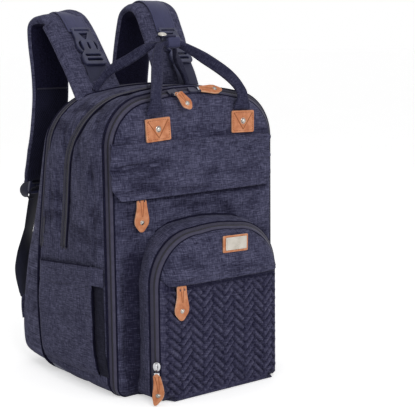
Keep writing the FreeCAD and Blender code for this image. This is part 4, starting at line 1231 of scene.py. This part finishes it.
def strap_fittings(side):
    """Webbing over the strap's crown, the buckle on it, and the run that goes on to the bag."""
    word = hand(side)
    # the crown of the left strap leans in toward the grips
    x = -73.0 if side < 0 else 87.0
    path = bent(STRAP_PATHS[side], 34.0, 400)
    t = unit(np.gradient(path, axis=0))
    outer = path + np.stack([-t[:, 1], t[:, 0]], 1) * (7.6 + 2.0 * step(path[:, 1:], 470, 520))
    crown = outer[(path[:, 0] > 101) & (path[:, 1] > 470)]
    # the webbing's lower end tucks in under the buckle
    tuck = np.array([[99.4, 505.2], [101.4, 509.2]]) + OUT[1:] * 8.6
    webbing = swept(f"{word}_strap_webbing_band", shown(x, np.vstack([tuck, crown[2:]])[::3]), (1, 0, 0),
                    section(38, 2.0, 0.8, 2), WEBBING, "bag")
    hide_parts(f"{word}_strap_webbing")
    for edge in (-15.5, 15.5):
        line = shown(x + edge, crown[2::3])
        slope = np.stack([-np.gradient(line[:, 2]), np.gradient(line[:, 1])], 1)
        up = np.stack([np.zeros(len(line)), *unit(slope).T], 1)
        sewn(f"{word}_strap_webbing_stitches_{'in' if edge * side < 0 else 'out'}", line + up, up, "bag")
    origin = Vector((x, STRAP_TOP[0], STRAP_TOP[1])) + Vector(OUT) * 3.0

    def lifted(lift):
        """The buckle's place, so far out from the strap."""
        return at_place(origin + Vector(OUT) * lift + Vector(DOWN) * 1.0, DOWN, OUT)

    arms = [(0, 16), (21, 16.6), (27, 18.4), (33, 19.0), (39, 18.2), (44, 15.6), (46.5, 12.6), (44.5, 11.8), (40, 14.4),
            (34, 15.4), (29, 14.6), (25.4, 11.5)]
    outline = soft_corners(arms + [(a, -b) for a, b in arms[::-1]], 2.0, 3)
    window = [(10.5, -8.0), (10.5, 8.0), (14, 5.5), (22.5, 1.2), (22.5, -1.2), (14, -5.5)]
    holes = [oblong(3.6, 25, 1.2, 5.4, 0), soft_corners(window, 0.8)]
    male = cut_piece(f"{word}_buckle_male", outline, 5.6, lifted(3.4), PLASTIC, PLASTIC, "bag", 1.0, holes)
    socket = [(26.0, 10.8), (43.5, 10.8), (47.5, 14.5), (51.5, 18.2), (56, 19.2), (65, 19.2), (69.5, 16.5), (70.6, 12)]
    outline = soft_corners(socket + [(a, -b) for a, b in socket[::-1]], 3.0, 4)
    holes = [oblong(12.5, 3.6, 1.5, 35.5, 0), oblong(4.2, 26, 1.4, 53.6, 0), oblong(4.6, 26, 1.4, 61.8, 0)]
    female = cut_piece(f"{word}_buckle_female", outline, 7.4, lifted(4.1), PLASTIC, PLASTIC, f"{word}_female", 1.3,
                       holes)
    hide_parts(f"{word}_male_buckle")
    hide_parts(f"{word}_female_buckle")
    back_plate = [(2, 14), (24, 14.5), (24, -14.5), (2, -14.5)]
    dark = cut_piece(f"{word}_buckle_shade", soft_corners(back_plate, 2), 1.0, lifted(0.1), DARK_WEBBING,
                     DARK_WEBBING, "bag", 0.2)
    low = np.array([STRAP_TOP]) + DOWN[1:] * 61.0 + OUT[1:] * 4.4
    foot = np.array([[37.5, 427.0]])
    mid = (low + foot) / 2 + OUT[1:] * 1.5
    run = swept(f"{word}_buckle_webbing_band", shown(x, smooth_curve(np.vstack([low, mid, foot]), 24)), (1, 0, 0),
                section(36, 1.8, 0.7, 2), SHADED_WEBBING, "bag")
    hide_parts(f"{word}_buckle_webbing")
    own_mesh(run)


def strap_end(side):
    """Ladder lock on the strap's end, the webbing at its tip and the adjuster webbing below it, down to the corner."""
    word = hand(side)
    x = side * STRAP_X
    down = Vector((0, 0.3204, -0.94728))
    out = Vector((0, 0.94728, 0.3204))
    place = at_place((x, 207, 284), down, out)
    lock = cut_piece(f"{word}_ladder_lock_plate", oblong(30, 34, 4, 15.5, 0), 5.0, place, PLASTIC, PLASTIC,
                     f"{word}_lock", 1.2, [oblong(8.0, 25, 1.6, 9.5, 0), oblong(8.0, 25, 1.6, 21.5, 0)])
    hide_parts(f"{word}_ladder_lock")
    points = [(88, 209, 276), (89, 215, 266), (92, 220, 246), (98, 222, 217), (108, 218, 184), (120, 212, 149),
              (129, 202, 126), (136, 189, 108), (138, 181, 99)]
    line = smooth_curve([(side * x, y, z) for x, y, z in points], 70)
    turn = np.linspace(0, 1, 70)
    lean = np.interp(turn, [0, 0.2, 0.42, 0.62, 1], [0.2, 0.4, 0.6, 0.05, 0.1])
    across = unit(np.stack([np.ones(70), -side * lean, np.zeros(70)], 1))
    web = swept(f"{word}_adjuster_band", line, across, section(26, 1.8, 0.7, 2), DARK_WEBBING, "bag",
                scale=np.stack([1 - 0.62 * step(turn, 0.72, 1.0), np.ones(70)], 1))
    tip = smooth_curve([(x, 198, 299), (x, 204, 288), (x, 210, 279), (x, 206, 273)], 14)
    swept(f"{word}_strap_tip_webbing", tip, (1, 0, 0), section(25, 1.8, 0.7, 2), DARK_WEBBING, "bag")
    points = [(92, 212, 272), (101, 220, 269), (107, 224, 261), (104, 222, 251), (95, 217, 247)]
    tail = smooth_curve([(side * x, y, z) for x, y, z in points], 24)
    swept(f"{word}_adjuster_tail", tail, (0.25 * side, 0.9, 0.3), section(19, 1.8, 0.7, 2), DARK_WEBBING, "bag")
    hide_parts(f"{word}_adjuster_webbing")


def corner_tab(side):
    """Canvas tab in the lower corner of the back, which holds the end of the adjuster webbing."""

    def place(u, v):
        top = np.array([side * 138.0, 180.0, 101.0])
        low = np.array([side * 137.0, 175.0, 70.0])
        laid = top + (low - top) * v[:, None]
        half = 7 + 8 * v
        laid[:, 0] += (u - 0.5) * half
        laid[:, 1] += 2.4 * np.sin(np.pi * v) - np.abs(u - 0.5) * 3 * v
        laid[:, 2] += (u - 0.5) * half * 0.5
        return laid

    piece = cloth(f"{hand(side)}_corner_tab_canvas", 10, 14, place, CANVAS, "bag", (0, 100, 100))
    return wall(piece, 2.2, False)


for side in (-1, 1):
    strap(side)
for side in (-1, 1):
    strap_fittings(side)
    strap_end(side)
tabs = [corner_tab(-1), corner_tab(1)]
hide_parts("corner_tabs")

# ---- grips, patches and label --------------------------------------------------------------


def grip_line(left, right, count):
    """Line of a grip from its left foot up over the hold and down to its right foot, and the distance along it."""
    rising = smooth_curve([(-x, y, z) for x, y, z in left], count)
    falling = smooth_curve(right, count)[::-1]
    line = np.vstack([rising, falling[1:]])
    return line, lengths(line)


def width_turned(run, shares, ways):
    """The way a band's width points, all along it, from the ways at a few shares of its length."""
    ways = np.array(ways, float)
    return np.stack([np.interp(run / run[-1], shares, ways[:, k]) for k in range(3)], 1)


def front_grip():
    """Flat padded grip of the front pair: two legs that fold together under the wrap."""
    left = [(77, -102.4, 396), (78, -103.8, 404), (77, -103.0, 420), (63, -86, 439), (40, -56, 465), (19, -32, 487),
            (0, -28, 494)]
    right = [(76, -102.4, 396), (76, -104.0, 404), (74.5, -103.5, 422), (63, -88, 445), (41.5, -58, 470),
             (19, -32, 489), (0, -28, 494)]
    line, run = grip_line(left, right, 70)
    side = width_turned(run, [0, 0.10, 0.22, 0.40, 0.5, 0.60, 0.78, 0.90, 1.0],
                        [(1, 0, 0), (1, 0, 0), (0.9, -0.3, 0), (0.7, -0.7, 0), (0, -1, 0), (0.25, -0.8, 0.45),
                         (0.6, -0.35, 0.7), (0.9, -0.1, 0.35), (1, 0, 0)])
    foot = np.minimum(run, run[-1] - run)
    wide = np.interp(foot, [0, 8, 18, 32, 60], [1.75, 1.4, 0.95, 0.84, 0.92]) * np.interp(foot, [100, 135], [1.0, 0.72])
    thick = np.interp(foot, [0, 10, 32], [0.5, 0.7, 1.0])
    grip = swept("front_grip_canvas", line, side, section(18.5, 7.0, 3.0, 4), GRIP_CANVAS, "front_handle",
                 scale=np.stack([wide, thick], 1))
    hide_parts("front_handle")
    across = unit(side)
    slope = unit(np.gradient(line, axis=0))
    across = unit(across - slope * np.sum(across * slope, 1, keepdims=True))
    up = np.cross(across, slope)
    for k, edge in enumerate((-7.0, 7.0)):
        for name, part, face in (("left", slice(4, 56), up), ("right", slice(84, 135), -up)):
            row = (line + across * (edge * wide)[:, None] + face * (3.3 * thick)[:, None])[part]
            sewn(f"front_grip_stitches_{name}_{k}", row, face[part], "front_handle")


def rear_grip():
    """Padded grip of the rear pair, whose hold lies in the same wrap."""
    left = [(90, 31.5, 424), (86, 30, 432), (70, 23.5, 452), (43, 8, 470), (20, -11, 488), (0, -12.8, 491)]
    right = [(79, 31.5, 424), (76, 30, 432), (62, 23.5, 452), (40, 8, 470), (20, -11, 488), (0, -12.8, 491)]
    line, run = grip_line(left, right, 60)
    side = width_turned(run, [0, 0.2, 0.42, 0.5, 0.58, 0.8, 1.0],
                        [(1, -0.3, 0.2), (1, -0.6, 0), (0.6, -1, 0), (0, -1, 0), (-0.6, -1, 0), (-1, -0.6, 0),
                         (-1, -0.3, 0.2)])
    foot = np.minimum(run, run[-1] - run)
    wide = np.interp(foot, [0, 20, 55], [0.6, 0.72, 1.0]) * np.interp(foot, [90, 125], [1.0, 0.75])
    grip = swept("rear_grip_canvas", line, side, section(15.5, 6.4, 2.8, 4), GRIP_CANVAS, "rear_handle",
                 scale=np.stack([wide, np.ones(len(line))], 1))
    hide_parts("rear_handle")


def wrap():
    """Sleeve that holds the grips together: webbing band, canvas flap and a snap."""
    line = np.stack([np.linspace(-5.0, 15.5, 13), np.full(13, -27.6), np.full(13, 493.2)], 1)
    band = swept("wrap_band", line, (0, -1, 0), section(18.0, 17.5, 5.5, 5), WEBBING, "front_handle",
                 scale=np.stack([1 + 0.04 * np.sin(np.linspace(0, math.pi, 13))] * 2, 1))
    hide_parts("handle_wrap")

    def place(u, v):
        x = -17 + 25 * u
        y = -37 + 18 * v
        droop = ((v - 0.5) * 2) ** 2 * 2.6 + 1.4 * np.clip((0.25 - u) / 0.25, 0, 1) ** 2
        return np.stack([x, y, 504.4 - droop], 1)

    flap = cloth("wrap_flap_canvas", 16, 14, place, GRIP_CANVAS, "wrap_flap", (0, -28, 480))
    wall(flap, 2.2)
    rounded(flap, 0.7)
    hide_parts("wrap_flap")
    bm = bmesh.new()
    bmesh.ops.create_uvsphere(bm, u_segments=28, v_segments=16, radius=1.0,
                              matrix=at_place((-12.0, -30.0, 504.2), (1, 0, 0.15), (-0.15, -0.35, 0.92))
                              @ Matrix.Diagonal((6.4 * MM, 6.4 * MM, 2.2 * MM, 1)))
    for f in bm.faces:
        f.smooth = True
    snap = settle("wrap_snap_cap", bm, AGED_NICKEL, "wrap_flap")
    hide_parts("wrap_snap")


def rivet(name, centre, axis, radius, height, body):
    """Domed rivet head with a thin flange."""
    place = at_place(centre, Vector(axis).orthogonal(), axis)
    bm = bmesh.new()
    bmesh.ops.create_uvsphere(bm, u_segments=24, v_segments=14, radius=1.0,
                              matrix=place @ Matrix.Diagonal((radius * MM, radius * MM, height * MM, 1)))
    bmesh.ops.create_cone(bm, cap_ends=True, segments=28, radius1=(radius + 0.9) * MM, radius2=(radius + 0.5) * MM,
                          depth=0.5 * MM, matrix=place)
    for f in bm.faces:
        f.smooth = True
    return settle(name, bm, AGED_NICKEL, body)


def patches():
    """Leather patches under the front grip, sewn round the border and in a V, with a rivet."""
    for word, x, z, tilt in (("left", -72.6, 373.6, 3.5), ("right", 79.4, 377.4, -1.0)):
        t = math.radians(tilt)
        axis = Vector((math.cos(t), 0, math.sin(t)))
        place = at_place((x, -100.4, z), axis, (0, -1, 0))
        piece = cut_piece(f"{word}_patch_leather", oblong(41.5, 32.0, 2.6), 3.0, place, LEATHER, LEATHER_EDGE,
                          "front_top", 0.7)
        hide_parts(f"{word}_patch")
        lay = lambda corners: [tuple((place @ Vector((a * MM, b * MM, 1.55 * MM))) / MM) for a, b in corners]
        # the patch's own y may run up or down the bag
        top = 1.0 if (place @ Vector((0, 0.01, 0))).z > z * MM else -1.0
        border = lay([(-18, -13), (18, -13), (18, 13), (-18, 13), (-18, -13)])
        vee = lay([(-17, top * 12.4), (0, -top * 11.5), (17, top * 12.4)])
        for k, (a, b) in enumerate(list(zip(border, border[1:])) + list(zip(vee, vee[1:]))):
            sewn(f"{word}_patch_stitches_{k}", np.array([a, b]), (0, -1, 0), "front_top", TAN_THREAD, 3.0, 2.2, 0.35)
        groove = even(np.array(vee), 30)
        swept(f"{word}_patch_crease", groove + [0, 0.25, 0], (0, 0, 1), section(1.4, 0.9, 0.4, 2), TAN_THREAD,
              "front_top")
        spot = place @ Vector((0, top * 0.8 * MM, 1.4 * MM))
        rivet(f"{word}_patch_rivet", spot / MM, (0, -1, 0), 3.9, 3.2, "front_top")
    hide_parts("patch_rivets")


def label():
    """Bare metal plate in a leather frame on the pocket."""
    for name, size, thickness, centre, face, edge, rim in (
            ("label_frame", (45.0, 24.0, 2.0), 2.4, (18.2, -156.2, 211.2), LEATHER, LEATHER_EDGE, 0.7),
            ("label_blank_plate", (38.0, 18.4, 1.4), 1.9, (18.4, -158.0, 211.6), PLATE, PLATE, 0.9),
            ("label_plate_field", (33.5, 13.8, 0.8), 0.5, (18.4, -159.0, 211.6), PLATE, PLATE, 0.2)):
        place = at_place(centre, (1, 0, -0.02), (0, -1, 0))
        cut_piece(name, oblong(*size), thickness, place, face, edge, "pocket_front", rim)
    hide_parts("label_leather")
    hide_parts("label_plate")


def pull(name, centre, hinge, hang, tilt, link=0.0, turn=0.0, wave=0.0, bow=0.0, rise=0.0, size=1.0, reach=1.0):
    """Leather zip pull with its barrel, pins and rivet, hung from a slider's ears.

    tilt turns its face about the hinge and turn swings it in its own plane, in degrees. link is the height of its
    bails, rise brings its top nearer the hinge, wave bends it out of its plane and bow in it, in millimetres.
    """
    body = f"{name}_pull"
    h = Vector(hinge).normalized()
    face = Matrix.Rotation(math.radians(tilt), 3, h) @ h.cross(-Vector(hang).normalized())
    place = at_place(centre, h, face)
    start = rise - 2.6 - 5.5 * math.sin(math.radians(abs(turn)))
    swing = Matrix.Translation((0, start * MM, link * MM)) @ Matrix.Rotation(math.radians(turn), 4, "Z") \
        @ Matrix.Translation((0, -start * MM, 0))
    laid = place @ swing

    def lift(a, b, up):
        """A point on the hanging leather, in millimetres."""
        return tuple((laid @ Vector((a * MM, b * MM, up * MM))) / MM)

    def aside(b):
        """How far the leather bows to one side at b along it."""
        return bow * math.sin(max(0.0, min(1.0, (start - b) / 42.0)) * math.pi)

    def bend(b):
        """How far the leather stands out of its plane at b along it."""
        return wave * math.sin(b / 44.0 * math.pi * 1.6)

    right = [(6.6, start), (7.2, -9), (8.8, -18), (10.4, -26), (9.6, -33), (3.4, -42.0), (1.2, -43.4)]
    right = [(a * size, start + (b - start) * reach) for a, b in right]
    outline = soft_corners([(-a, b) for a, b in right[::-1]] + right, 2.2, 4)[::-1]
    leather = cut_piece(f"{name}_pull_leather", outline, 3.0, laid, LEATHER, LEATHER_EDGE, body, 0.9)
    if wave or bow:
        bm = bmesh.new()
        bm.from_mesh(leather.data)
        bmesh.ops.subdivide_edges(bm, edges=bm.edges[:], cuts=3, use_grid_fill=True)
        back_to = laid.inverted()
        for vertex in bm.verts:
            p = back_to @ vertex.co
            p.z += bend(p.y / MM) * MM
            p.x += aside(p.y / MM) * MM
            vertex.co = laid @ p
        bm.to_mesh(leather.data)
        bm.free()
    out = place.to_3x3() @ Vector((0, 0, 1))
    for k, a in enumerate((-2.6, 2.6)):
        line = []
        for q in np.linspace(0, 1, 16):
            b = start - 2 - q * 21 * reach
            line.append(lift(a * (1 - q * 0.75) + aside(b), b, 1.4 + bend(b)))
        swept(f"{name}_pull_crease_{k}", line, tuple(place.to_3x3() @ Vector((1, 0, 0))), section(0.8, 0.7, 0.3, 2),
              TAN_THREAD, body)
    low = -29.5
    stud = rivet(f"{name}_pull_rivet", lift(aside(low), start + (low - start) * reach, 1.5 + bend(low)), out, 2.7, 2.0,
                 body)
    bm = bmesh.new()
    for segments, radius, length in ((16, 1.5, 6), (12, 0.8, 8.4)):
        bmesh.ops.create_cone(bm, cap_ends=True, segments=segments, radius1=radius * MM, radius2=radius * MM,
                              depth=length * MM, matrix=place @ Matrix.Rotation(math.pi / 2, 4, "Y"))
    bar = settle(f"{name}_pull_barrel", bm, SLIDER_METAL, body)
    rounded(bar, 0.25)
    tongue = cut_piece(f"{name}_pull_tongue", oblong(6, -start + 3.4, 0.8, 0, start / 2 - 0.6), 2.4,
                       place @ Matrix.Translation((0, 0, link * 0.5 * MM)), LEATHER, LEATHER_EDGE, body, 0.5)
    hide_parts(f"{name}_pull")
    if link:
        for word, a in (("a", -2), ("b", 2)):
            pin = (place @ Vector((a * MM, 0, 0))) / MM
            eye = lift(a, start, 0)
            line = smooth_curve([tuple(pin), tuple((pin + Vector(eye)) / 2), eye], 12)
            swept(f"{name}_pull_bail_{word}", line, tuple(h), section(1.3, 1.3, 0.6, 3), SLIDER_METAL, body)


# hinge of the pull on the pocket's slider, and the way its pin points
ARCH_HINGE = (-110.76, -141.29, 42.3)
ARCH_ACROSS = (0.6585, -0.7526, 0)


def arch_slider():
    """Slider of the pocket's zip: a waisted body, a bridge over it and the ring of its pull."""
    low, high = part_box("arch_slider")
    middle = (Vector(low) + Vector(high)) / 2 / MM
    across, out = Vector(ARCH_ACROSS), Vector((-0.7526, -0.6585, 0))
    shape = [(-3.0, -3.6), (3.0, -3.6), (4.8, -0.6), (5.4, 3.0), (4.4, 7.2), (1.8, 8.6), (-1.8, 8.6), (-4.4, 7.2),
             (-5.4, 3.0), (-4.8, -0.6)]
    at = lambda a, b, up: tuple(middle + across * a + Vector((0, 0, b)) + out * up)
    base = cut_piece("arch_slider_plate", soft_corners(shape, 1.4, 3), 3.4, at_place(at(0, 0, 0.3), across, out),
                     SLIDER_METAL, SLIDER_METAL, "arch_slider", 0.8)
    bridge = smooth_curve([at(0, 7.0, 1.6), at(0, 6.4, 3.6), at(0, 3.0, 5.0), at(0, -0.8, 4.4), at(0, -2.6, 1.6)], 20)
    arm = swept("arch_slider_bridge", bridge, tuple(across), section(3.4, 1.4, 0.5, 3), SLIDER_METAL, "arch_slider")
    hinge = Vector(ARCH_HINGE)
    ring = [tuple(hinge + across * (3.6 * math.cos(a)) + Vector((0, 0, 3.9 * math.sin(a) - 3.4)) + out * 0.9)
            for a in np.linspace(0, 2 * math.pi, 37)[:-1]]
    swept("arch_pull_ring", ring, tuple(out), section(1.5, 1.5, 0.7, 3), SLIDER_METAL, "arch_pull", closed=True)
    whole = joined("arch_slider_body_metal", [base, arm], "arch_slider")
    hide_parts("arch_slider")


front_grip()
rear_grip()
wrap()
patches()
label()
pull("upper", (-105.0, -103.8, 277.3), (1, 0, 0), (0, 0, -1), 0.0, wave=-0.8, rise=4.0, size=1.16)
pull("quilt", (-80.0, -159.8, 158.8), (1, 0, 0), (0, 0, -1), 0.0, wave=-0.8, rise=8.0, size=1.16)
pull("arch", ARCH_HINGE, ARCH_ACROSS, (0, 0, -1), -24.0, wave=-2.4, bow=4.5, size=0.8)
pull("front_left", (-37.93, -94.46, 420.69), (0.9924, 0, 0.1232), (0.0815, -0.7501, -0.6563), 22.0,
     link=8.6, turn=20.0, rise=3.0, size=0.86, reach=0.68)
pull("front_right", (6.78, -89.42, 426.69), (0.0146, 0.7525, 0.6584), (0.99975, 0, -0.0222), 2.0, size=0.84)
pull("middle", (-42.69, -51.7, 434.27), (0.9911, 0, 0.1331), (0, -1, 0), 8.0, turn=-38.0, size=0.78, reach=0.8)
for name in ("upper", "quilt", "arch", "front_left", "front_right", "middle"):
    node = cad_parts[f"{name}_slider"]
    node.data.materials.clear()
    node.data.materials.append(SLIDER_METAL if name == "arch" else LACQUER)
arch_slider()

# ---- inside of the bag ---------------------------------------------------------------------


def inside():
    """Lining, divider with its pockets, and the covered board on the floor of the bag."""

    def lining(u, v):
        """Cloth just inside the gusset."""
        p, out = on_arch(BODY, 4.6, u)
        x = p[:, 0]
        z = np.maximum(p[:, 1], 4.2)
        front = -75
        y = front + (depth_at(REAR_SEAM, z) - 2 - front) * v
        slack = folds(y, z, 30, 40, 81) * 0.5 * np.sin(np.pi * v)
        return np.stack([x - out[:, 0] * abs(slack), y, z], 1)

    piece = cloth("lining_cloth", 240, 30, lining, LINING, "bag", (0, 10, 200), weld=True)
    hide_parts("lining")

    def partition(u, v):
        """Upright cloth across the middle of the bag."""
        x, z = arch_columns(BODY, 5.6, u, v, 9.0, 335.0)
        return np.stack([x, -15 + folds(x, z, 50, 60, 82) - 0.6, z], 1)

    piece = cloth("divider_cloth", 70, 60, partition, LINING, "bag", (0, 300, 200))
    wall(piece, 2.4, False)
    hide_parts("divider")

    def pockets(u, v):
        """Low pockets on the front of the divider."""
        x = -112 + 224 * u
        z = 12 + 135 * v
        # three pockets side by side
        bay = np.abs(np.sin(u * 3 * math.pi)) ** 0.45
        y = -19.4 - 8.2 * bay * (1 - 0.55 * v ** 3) * step(v, -0.02, 0.1) + folds(x, z, 20, 30, 83) * 0.4
        return np.stack([x, np.maximum(y, -29), z + 1.5 * (1 - bay)], 1)

    piece = cloth("organiser_cloth", 150, 40, pockets, LINING, "bag", (0, 60, 80))
    wall(piece, 1.2)
    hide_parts("organiser_pocket")
    u = np.linspace(0, 1, 150)
    swept("organiser_elastic", pockets(u, np.ones(150)), (0, 0, 1), section(3.4, 2.2, 1.0, 2), BINDING, "bag")
    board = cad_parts["base_board"]
    board.data.materials.clear()
    board.data.materials.append(BOARD)


inside()

# ---- floor and light ---------------------------------------------------------------


def in_sight(tree):
    """1 where the camera or a reflection meets the surface, and 0 for the light that it sheds."""
    rays = add(tree, "LightPath").outputs
    return add(tree, "Math", {0: rays["Is Camera Ray"], 1: rays["Is Glossy Ray"]}, operation="MAXIMUM").outputs[0]


def studio():
    """Pale floor, even white surroundings, a large soft key from the front left and a weaker fill."""
    floor_mesh = bpy.data.meshes.new("studio_floor")
    bm = bmesh.new()
    bmesh.ops.create_grid(bm, x_segments=1, y_segments=1, size=60.0)
    bm.to_mesh(floor_mesh)
    bm.free()
    floor = bpy.data.objects.new("studio_floor", floor_mesh)
    bpy.context.scene.collection.objects.link(floor)
    paint, tree, shade = finish("pale_studio_floor", Roughness=0.9, Specular_IOR_Level=0.1)
    where = add(tree, "TexCoord").outputs["Object"]
    mottle = add(tree, "TexNoise", {"Vector": where, "Scale": 3.0}).outputs["Fac"]
    colour_by(tree, shade, mottle, [(0.3, "#f6f6f6"), (0.7, "#fafafa")])
    glow = add(tree, "MapRange", {"Value": in_sight(tree), "To Min": 0.0, "To Max": 0.5})
    shade.inputs["Emission Color"].default_value = (1, 1, 1, 1)
    tree.links.new(glow.outputs[0], shade.inputs["Emission Strength"])
    floor_mesh.materials.append(paint)
    world = bpy.data.worlds.new("studio")
    world.use_nodes = True
    bpy.context.scene.world = world
    tree = world.node_tree
    tree.nodes.clear()
    level = add(tree, "MapRange", {"Value": in_sight(tree), "To Min": 0.5, "To Max": 1.0})
    sky = add(tree, "Background", {"Color": (1, 1, 1, 1), "Strength": level.outputs[0]})
    add(tree, "OutputWorld", {"Surface": sky.outputs[0]})
    for name, place, aim, size, power in (("key", (-0.6, -2.2, 1.5), (0, 0, 0.25), 1.3, 20),
                                          ("fill", (1.3, -1.9, 0.8), (0, 0, 0.25), 1.4, 3),
                                          ("top", (0.1, 0.6, 2.0), (0, 0, 0.3), 1.4, 4)):
        lamp = bpy.data.lights.new(name, "AREA")
        lamp.size = size
        lamp.energy = power
        thing = bpy.data.objects.new(name, lamp)
        thing.location = place
        thing.rotation_euler = (Vector(aim) - Vector(place)).to_track_quat("-Z", "Y").to_euler()
        bpy.context.scene.collection.objects.link(thing)


studio()
bpy.context.scene.view_settings.view_transform = "Standard"
